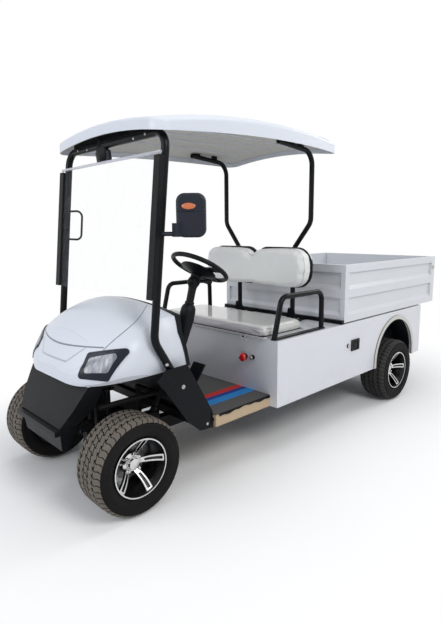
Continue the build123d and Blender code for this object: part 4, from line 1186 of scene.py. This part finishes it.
# %% [markdown]
# ## The back rest
# One cover with two lobes and a notch between them at the top. It is a grid whose rows are drawn to the
# outline, with round corners, given its depth and bevelled. A crease runs down from the notch on the front.
# Each dent is named by its depth and its width.

# %% Cover of the back rest
NOTCH, TOP_DIP, LOWER_DIP, CREASE = (0.036, 0.045), (0.008, 0.14), (0.008, 0.06), (0.008, 0.022)
BACK_CORNER, BACK_INSET = 0.1, 0.002


def back_cover():
    low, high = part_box("seat_back")
    reach = (high.y - low.y) / 2 - BACK_INSET
    cover = sheet("seat_back_pad", 72, 16, (0, 0, 0), 2)
    for point in cover.data.vertices:
        y, b = point.co.x * reach, point.co.y
        top = high.z - BACK_INSET - dent(y, *NOTCH) - dent(y, *TOP_DIP)
        bottom = low.z + BACK_INSET + dent(y, *LOWER_DIP)
        over = max(0.0, abs(y) - (reach - BACK_CORNER))
        pull = BACK_CORNER - sqrt(max(0.0, BACK_CORNER ** 2 - over ** 2))
        top, bottom = top - pull, bottom + pull
        point.co = low.x + 0.004, y, (top + bottom) / 2 + (top - bottom) / 2 * b
    extruded(cover, (high.x - low.x - 0.02, 0, 0))
    rounded(cover, 0.022, 3, 60)
    for point in cover.data.vertices:
        x, y, z = point.co
        if x > low.x + 0.02:
            point.co.x -= dent(y, *CREASE) * min(1.0, max(0.0, (z - 1.0) / 0.12))
    return padded(cover, 0.006, (0.022, 0.003, 0.003), low + SKIN, high - SKIN)


back_pad = back_cover()
print(back_pad.name, len(back_pad.data.polygons), "faces")

# %% [markdown]
# ## The bench
# A flat slab that lies a hair above its board. Its four upright edges are bevelled first, which sets the radius
# of the corners, and then all edges a little, for the sewn rim. Subdividing a cube would round it unevenly. The
# air inside may lift its top by 20 mm, but push its sides out by 4 mm only.

# %% Cover of the bench
def bench_cover():
    low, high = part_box("seat_cushion")
    cover = cube("bench_pad", (low.x + 0.006, low.y + 0.006, low.z + 0.0008),
                 (high.x - 0.004, high.y - 0.006, high.z - 0.012))
    pick(cover, "EDGE", lambda edge: along(edge, 2))
    bpy.ops.mesh.bevel(offset=0.045, segments=5, affect="EDGES")
    bpy.ops.object.mode_set(mode="OBJECT")
    rounded(cover, 0.012, 3, 60)
    return padded(cover, 0.008, (0.004, 0.004, 0.02), low + Vector((0.0005, 0.0005, 0.0003)), high - SKIN)


bench_pad = bench_cover()
print(bench_pad.name, len(bench_pad.data.polygons), "faces")

# %% [markdown]
# ## Cushion vinyl
# White vinyl with a fine leather grain and a seam round its border. The bench still wears the clear film it was
# delivered in: a full coat over the vinyl, wrinkled most at the near front corner. Its front side is painted a
# darker, bluer grey: painted shade.

# %% Vinyl with a seam, and the film over the bench
def film_relief(f):
    """Wrinkles of the loose film, and a dimple where it is tacked to the front."""
    corner = f.between(f.axis(1), 0.12, 0.46) * f.between(f.axis(0), 0.3, 0.48)
    place = f.node("Mapping", {}, {"Vector": f.place(), "Scale": (1, 0.55, 1.6)})
    folds = f.node("TexNoise", {"noise_type": "RIDGED_MULTIFRACTAL", "normalize": True},
                   {"Vector": place, "Scale": 17.0, "Detail": 2.0})
    f.bump(folds * (corner * 0.85 + 0.2), 0.022, 1.0)
    dimple = (1 - f.between((f.axis(1) + 0.13).size(), 0.004, 0.016)) * (f.axis(0) > 0.47)
    f.bump(1 - dimple, 0.006)


def pad_vinyl(name, light, dark, seam_axis, seam_at, wrapped):
    f = Finish(name, Specular_IOR_Level=0.5, Coat_Roughness=0.06 if wrapped else 0.3)
    grain = f.cells(520, "DISTANCE_TO_EDGE")
    cloud = f.noise(6, 5, 0.6)
    seam = 1 - f.between((f.axis(seam_axis) - seam_at).size(), 0.0008, 0.0022)
    base = f.mix(cloud, light, dark)
    if wrapped:
        # Painted shade: the faces that look forward get a darker, bluer grey.
        base = f.mix(f.between(f.facing(0), 0.35, 0.8) * 0.8, base, tone(176, 173, 182))
    f.feed(Base_Color=f.mix(seam * 0.4, base, tone(120, 118, 114)), Roughness=0.36 + cloud * 0.14,
           Coat_Weight=1.0 if wrapped else 0.2)
    f.bump(f.between(grain, 0, 0.25), 0.0004, 0.6)
    f.bump(1 - seam, 0.003)
    f.bump(f.noise(9, 3), 0.006, 0.4)
    if wrapped:
        film_relief(f)
    return f


back_vinyl = pad_vinyl("back_vinyl", tone(232, 234, 233), tone(218, 220, 219), 0, 0.074, False)
bench_vinyl = pad_vinyl("bench_vinyl", tone(218, 218, 214), tone(202, 202, 199), 2, 0.7285, True)
told(back_vinyl, bench_vinyl)

# %% [markdown]
# ## Both cushions in place
# The back rest is fixed to the chassis. The bench rides on its hinged board, so it tips forward with it. Each
# stands for its CAD block, which is then hidden.

# %% Cushions in place
fitted(back_pad, "chassis", back_vinyl)
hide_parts("seat_back")
fitted(bench_pad, "seat", bench_vinyl)
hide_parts("seat_cushion")
print("cushions", [[round(v, 3) for v in pad.dimensions] for pad in (back_pad, bench_pad)])

# %% [markdown]
# ## Small parts
# Bolts, buttons and caps are turned on the origin, facing +Z, because a section is easiest to write there. Each
# is then set on the surface that carries it: turned to the surface's direction, and moved to its place.

# %% Setting a small part on a surface
UP = (0, 0, 1)


def set_on(piece, place, normal):
    turn = Vector(normal).to_track_quat("Z", "Y").to_matrix().to_4x4()
    piece.data.transform(Matrix.Translation(Vector(place)) @ turn)
    return piece


def turned_part(name, section, steps, angle, place, normal, finish, stretch=(1, 1, 1)):
    """A round part of the body: turned, stretched if it is oval, smoothed and set in place."""
    piece = lathe(name, section, (0, 0, 0), UP, steps)
    piece.data.transform(Matrix.Diagonal((*stretch, 1.0)))
    smooth(piece, angle)
    return fitted(set_on(piece, place, normal), "chassis", finish)


print("small parts: set_on, turned_part")

# %% [markdown]
# ## Zinc-plated steel
# Bolts, the key switch and the latches are zinc plated: bright, but cloudy where fingers and weather dulled
# them. The clouded finish gives that, with metal set all over.

# %% Zinc plate
zinc = clouded("zinc_plate", tone(214, 214, 212), tone(150, 148, 142), (60, 5, 0.6), (0.22, 0.25),
               (400, 3, 0.0001), Metallic=1.0)
told(zinc)

# %% [markdown]
# ## Bolts
# A washer, a hexagon head with its edges broken, and the rounded end of the thread. All sizes follow from the
# head's radius, so one function makes every bolt. Each row of the table gives the left one's place, direction
# and radius, and the right one is its mirror image.

# %% Bolts on both sides
def bolt_head(name, place, normal, radius):
    rim = radius * 1.7
    washer = lathe(name, [(0.0, 0.0), (rim, 0.0), (rim, 0.0012), (radius * 1.5, 0.0018), (0.0, 0.0018)],
                   (0, 0, 0), UP, 24)
    head = cylinder("head", (0, 0, 0.0016), (0, 0, radius * 0.9), radius, 6)
    rounded(head, radius * 0.12, 2)
    thread = lathe("thread", [(radius * 0.45, radius * 0.85), (radius * 0.45, radius * 1.1),
                              (radius * 0.3, radius * 1.25), (0.0, radius * 1.27)], (0, 0, 0), UP, 16)
    bolt = smooth(joined(name, [washer, head, thread]), 30)
    return fitted(set_on(bolt, place, normal), "chassis", zinc)


bolts = {"bolt_0": ((1.078, 0.4805, 0.541), (0, 1, 0), 0.0062),
         "bolt_1": ((0.926, 0.4805, 0.307), (0, 1, 0), 0.0045),
         "bolt_4": ((1.139, 0.320, 1.724), (1, 0, 0), 0.0035),
         "bolt_5": ((1.137, 0.221, 1.717), (1, 0, 0), 0.0035),
         "pillar_nut": ((1.165, 0.470, 0.667), (0.48, 0.83, -0.29), 0.005)}
for name, ((x, y, z), (nx, ny, nz), radius) in bolts.items():
    for side, word in ((1, "_left"), (-1, "_right")):
        bolt_head(name + word, (x, y * side, z), (nx, ny * side, nz), radius)
print(len(bolts) * 2, "bolts set")

# %% [markdown]
# ## Controls on the bench panel
# A red mushroom button stops the cart, with the key switch beside it; the charge socket on the side has a lock.
# The button is glossy plastic with a rolled edge, which a turned section gives at once.

# %% Stop button, key switch and lock
BUTTON = [(0.0, 0.0), (0.018, 0.0), (0.018, 0.005), (0.0248, 0.0085), (0.0265, 0.014), (0.0258, 0.020),
          (0.021, 0.0255), (0.011, 0.0278), (0.0, 0.0282)]
COLLAR = [(0.0, 0.0), (0.0125, 0.0), (0.0125, 0.003), (0.0105, 0.0045), (0.009, 0.0035), (0.0075, 0.009),
          (0.0, 0.0095)]
LOCK = [(0.0, 0.0), (0.0135, 0.0), (0.0135, 0.003), (0.011, 0.005), (0.006, 0.005), (0.006, 0.0035),
        (0.0, 0.0035)]
button_red = clouded("red_plastic", tone(214, 26, 30), tone(180, 16, 22), (40, 3, 0.5), (0.2, 0.15),
                     (500, 2, 0.0001), Specular_IOR_Level=0.5, Coat_Weight=0.5)
turned_part("stop_button", BUTTON, 40, 40, (0.4765, 0.312, 0.545), (1, 0, 0), button_red)
turned_part("switch_collar", COLLAR, 32, 30, (0.4765, 0.369, 0.549), (1, 0, 0), zinc)
turned_part("socket_lock", LOCK, 32, 30, (-0.277, 0.5638, 0.517), (0, 1, 0), zinc)
told(button_red)

# %% [markdown]
# ## Mirrors
# The door mirror carries an oval amber mark: a round cap stretched sideways. The inside mirror's shell is an
# egg, turned and then flattened front to back.

# %% Amber mark and inside mirror
MARK = [(0.0, 0.0), (0.0135, 0.0), (0.0135, 0.0015), (0.0115, 0.0034), (0.006, 0.0042), (0.0, 0.0044)]
EGG = [(0.0, 0.064), (0.012, 0.060), (0.026, 0.046), (0.037, 0.022), (0.041, 0.0), (0.037, -0.022),
       (0.026, -0.040), (0.012, -0.049), (0.0, -0.051)]
turned_part("mirror_marker", MARK, 40, 40, (1.1145, 0.5905, 1.392), (0.77, 0.64, 0), amber_lens,
            (2.25, 1.0, 1.0))
egg = lathe("inside_mirror_shell", EGG, (0, 0, 0), UP, 48)
egg.data.transform(Matrix.Translation((1.121, -0.09, 1.692)) @ Matrix.Diagonal((0.62, 1.25, 1.05, 1.0)))
fitted(smooth(egg, 50), "chassis", grained_black)
print("inside mirror", [round(v, 3) for v in egg.dimensions])

# %% [markdown]
# ## Steering post
# Under the wheel sits a tilting joint like a ball, then a neck, a bulging shroud, and a thin shaft that runs
# down to the gear box. Each stretch is round about its own axis, so each is turned along a line between two
# measured points, and the stretches are joined.

# %% Points and sections of the post
WHEEL_END, KNEE = Vector((0.7842, 0.250, 1.0494)), Vector((0.806, 0.250, 1.013))
FOOT, GEAR_END = Vector((0.912, 0.250, 0.640)), Vector((1.085, 0.212, 0.330))
POST_TOP = [(0.0, 0.0), (0.026, 0.0), (0.029, 0.005), (0.029, 0.018), (0.024, 0.025), (0.024, 0.042)]
POST = [(0.0, -0.034), (0.013, -0.0315), (0.024, -0.024), (0.031, -0.014), (0.0338, -0.005),
        (0.0355, -0.003), (0.0355, 0.003), (0.0338, 0.005), (0.031, 0.014), (0.0265, 0.022), (0.023, 0.030),
        (0.0215, 0.045), (0.021, 0.106), (0.0248, 0.110), (0.0262, 0.116), (0.0248, 0.122), (0.031, 0.128),
        (0.0385, 0.142), (0.041, 0.165), (0.0405, 0.200), (0.036, 0.250), (0.030, 0.300), (0.0255, 0.345),
        (0.0235, 0.387), (0.0, 0.388)]
SHAFT_RUN = (GEAR_END - FOOT).length
SHAFT = [(0.0, 0.0), (0.018, 0.0), (0.018, 0.028), (0.012, 0.033), (0.012, SHAFT_RUN - 0.05),
         (0.018, SHAFT_RUN - 0.045), (0.018, SHAFT_RUN)]
GEAR_COVER = [(0.0, 0.0), (0.019, 0.0), (0.019, 0.003), (0.015, 0.0045), (0.0, 0.0045)]
print("shaft is", round(SHAFT_RUN, 3), "m long")

# %% Steering post
def steering_post():
    top = lathe("post_top", POST_TOP, WHEEL_END, KNEE - WHEEL_END, 40)
    post = lathe("steering_post", POST, KNEE, FOOT - KNEE, 48)
    shaft = lathe("lower_shaft", SHAFT, FOOT, GEAR_END - FOOT, 28)
    box = rounded(cube("gear_box", (1.045, 0.190, 0.222), (1.125, 0.235, 0.350)), 0.006, 3)
    cover = lathe("gear_cover", GEAR_COVER, (1.085, 0.235, 0.29), (0, 1, 0), 32)
    return smooth(joined("steering_post", [post, top, shaft, box, cover]), 30)


post = fitted(steering_post(), "chassis", grained_black)
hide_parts("steering_column")
print("post faces", len(post.data.polygons))

# %% [markdown]
# ## Stalk
# One switch stalk comes out of the ball towards the driver's outer side: a boss, a thin rod and a soft round
# grip. Cylinders and a sphere could be joined, but one turned section has no steps between its tapers.

# %% Stalk under the steering wheel
STALK = [(0.0, -0.012), (0.011, -0.010), (0.011, 0.010), (0.0055, 0.018), (0.0045, 0.085), (0.0065, 0.100),
         (0.0095, 0.118), (0.0095, 0.142), (0.0075, 0.149), (0.0, 0.150)]
stalk = smooth(lathe("column_stalk", STALK, KNEE, (0.05, 1, 0.06), 24), 40)
fitted(stalk, "chassis", grained_black)
print("stalk reaches y =", round(max(point.co.y for point in stalk.data.vertices), 3))

# %% [markdown]
# ## Drooping edge of the mat
# The mat is cut a little wide, and its edge hangs over the board in slow waves. A narrow grid is drawn along
# the edge, its lower side dropped by a sum of two sines, and Solidify gives it the rubber's thickness.

# %% Edge of the mat
def mat_lip(name, side):
    low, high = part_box("floor_mat")
    y = high.y if side > 0 else low.y
    lip = sheet(name, 48, 4)
    for point in lip.data.vertices:
        t, down = point.co.x + 0.5, point.co.y + 0.5
        x = low.x + 0.003 + (high.x - low.x - 0.024) * t
        droop = 0.011 + 0.004 * sin(9 * t) + 0.0025 * sin(31 * t + 1)
        point.co = x, y + side * (0.0012 + 0.004 * sin(down * pi * 0.5)), high.z - 0.0006 - droop * down
    return apply_modifier(lip, "SOLIDIFY", thickness=0.0024, offset=0)


for name, side in (("mat_lip_left", 1), ("mat_lip_right", -1)):
    lip = fitted(smooth(mat_lip(name, side), 40), "chassis", case_black)
    print(name, len(lip.data.polygons), "faces")

# %% [markdown]
# ## Upper edge of the windscreen
# A clear sheet glows milky along its cut edge. A slim pale bar with its own half-clear finish stands there as a
# painted highlight of that glow, bevelled like the polished edge of acrylic.

# %% Upper edge of the windscreen
def screen_edge_highlight():
    f = Finish("screen_edge_highlight", IOR=1.46)
    cloud = f.noise(30, 4)
    # Painted highlight: a pale, half-opaque colour standing in for the glow of the cut edge.
    f.feed(Base_Color=f.mix(cloud, tone(206, 208, 218), tone(186, 188, 200)), Roughness=0.12 + cloud * 0.1,
           Alpha=0.62 + cloud * 0.1, Coat_Weight=0.6)
    f.bump(f.noise(120, 2), 0.0002)
    f.material.surface_render_method = "BLENDED"
    return f


low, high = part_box("windscreen")
edge_bar = cube("screen_top_edge", (low.x - 0.004, low.y, high.z - 0.013), (low.x + 0.010, high.y, high.z))
rounded(edge_bar, 0.003, 3, 30)
edge_finish = screen_edge_highlight()
fitted(smooth(edge_bar), "chassis", edge_finish)
told(edge_finish)

# %% [markdown]
# ## Latches
# A plate, a hook and a pin on each side hold the tailgate up. The right one is the left one turned half round
# about x, which keeps its faces pointing outwards, where a mirror would turn them in.

# %% Latches that hold the tailgate
LATCH_Z = 0.9725


def latch(name, side):
    plate = cube("latch", (-1.606, 0.5532, 0.958), (-1.565, 0.5552, 0.987))
    hook = cube("hook", (-1.604, 0.5552, 0.967), (-1.575, 0.5570, 0.978))
    pin = cylinder("pin", (-1.582, 0.5552, LATCH_Z), (-1.582, 0.5590, LATCH_Z), 0.004, 20)
    for part in (plate, hook, pin):
        rounded(part, 0.0008, 2)
    piece = joined(name, [plate, hook, pin])
    if side < 0:
        piece.data.transform(Matrix.Rotation(pi, 4, "X"))
        piece.data.transform(Matrix.Translation((0, 0, 2 * LATCH_Z)))
    return smooth(piece, 30)


for name, side in (("tailgate_latch_left", 1), ("tailgate_latch_right", -1)):
    fitted(latch(name, side), "chassis", zinc)
print("latches set")
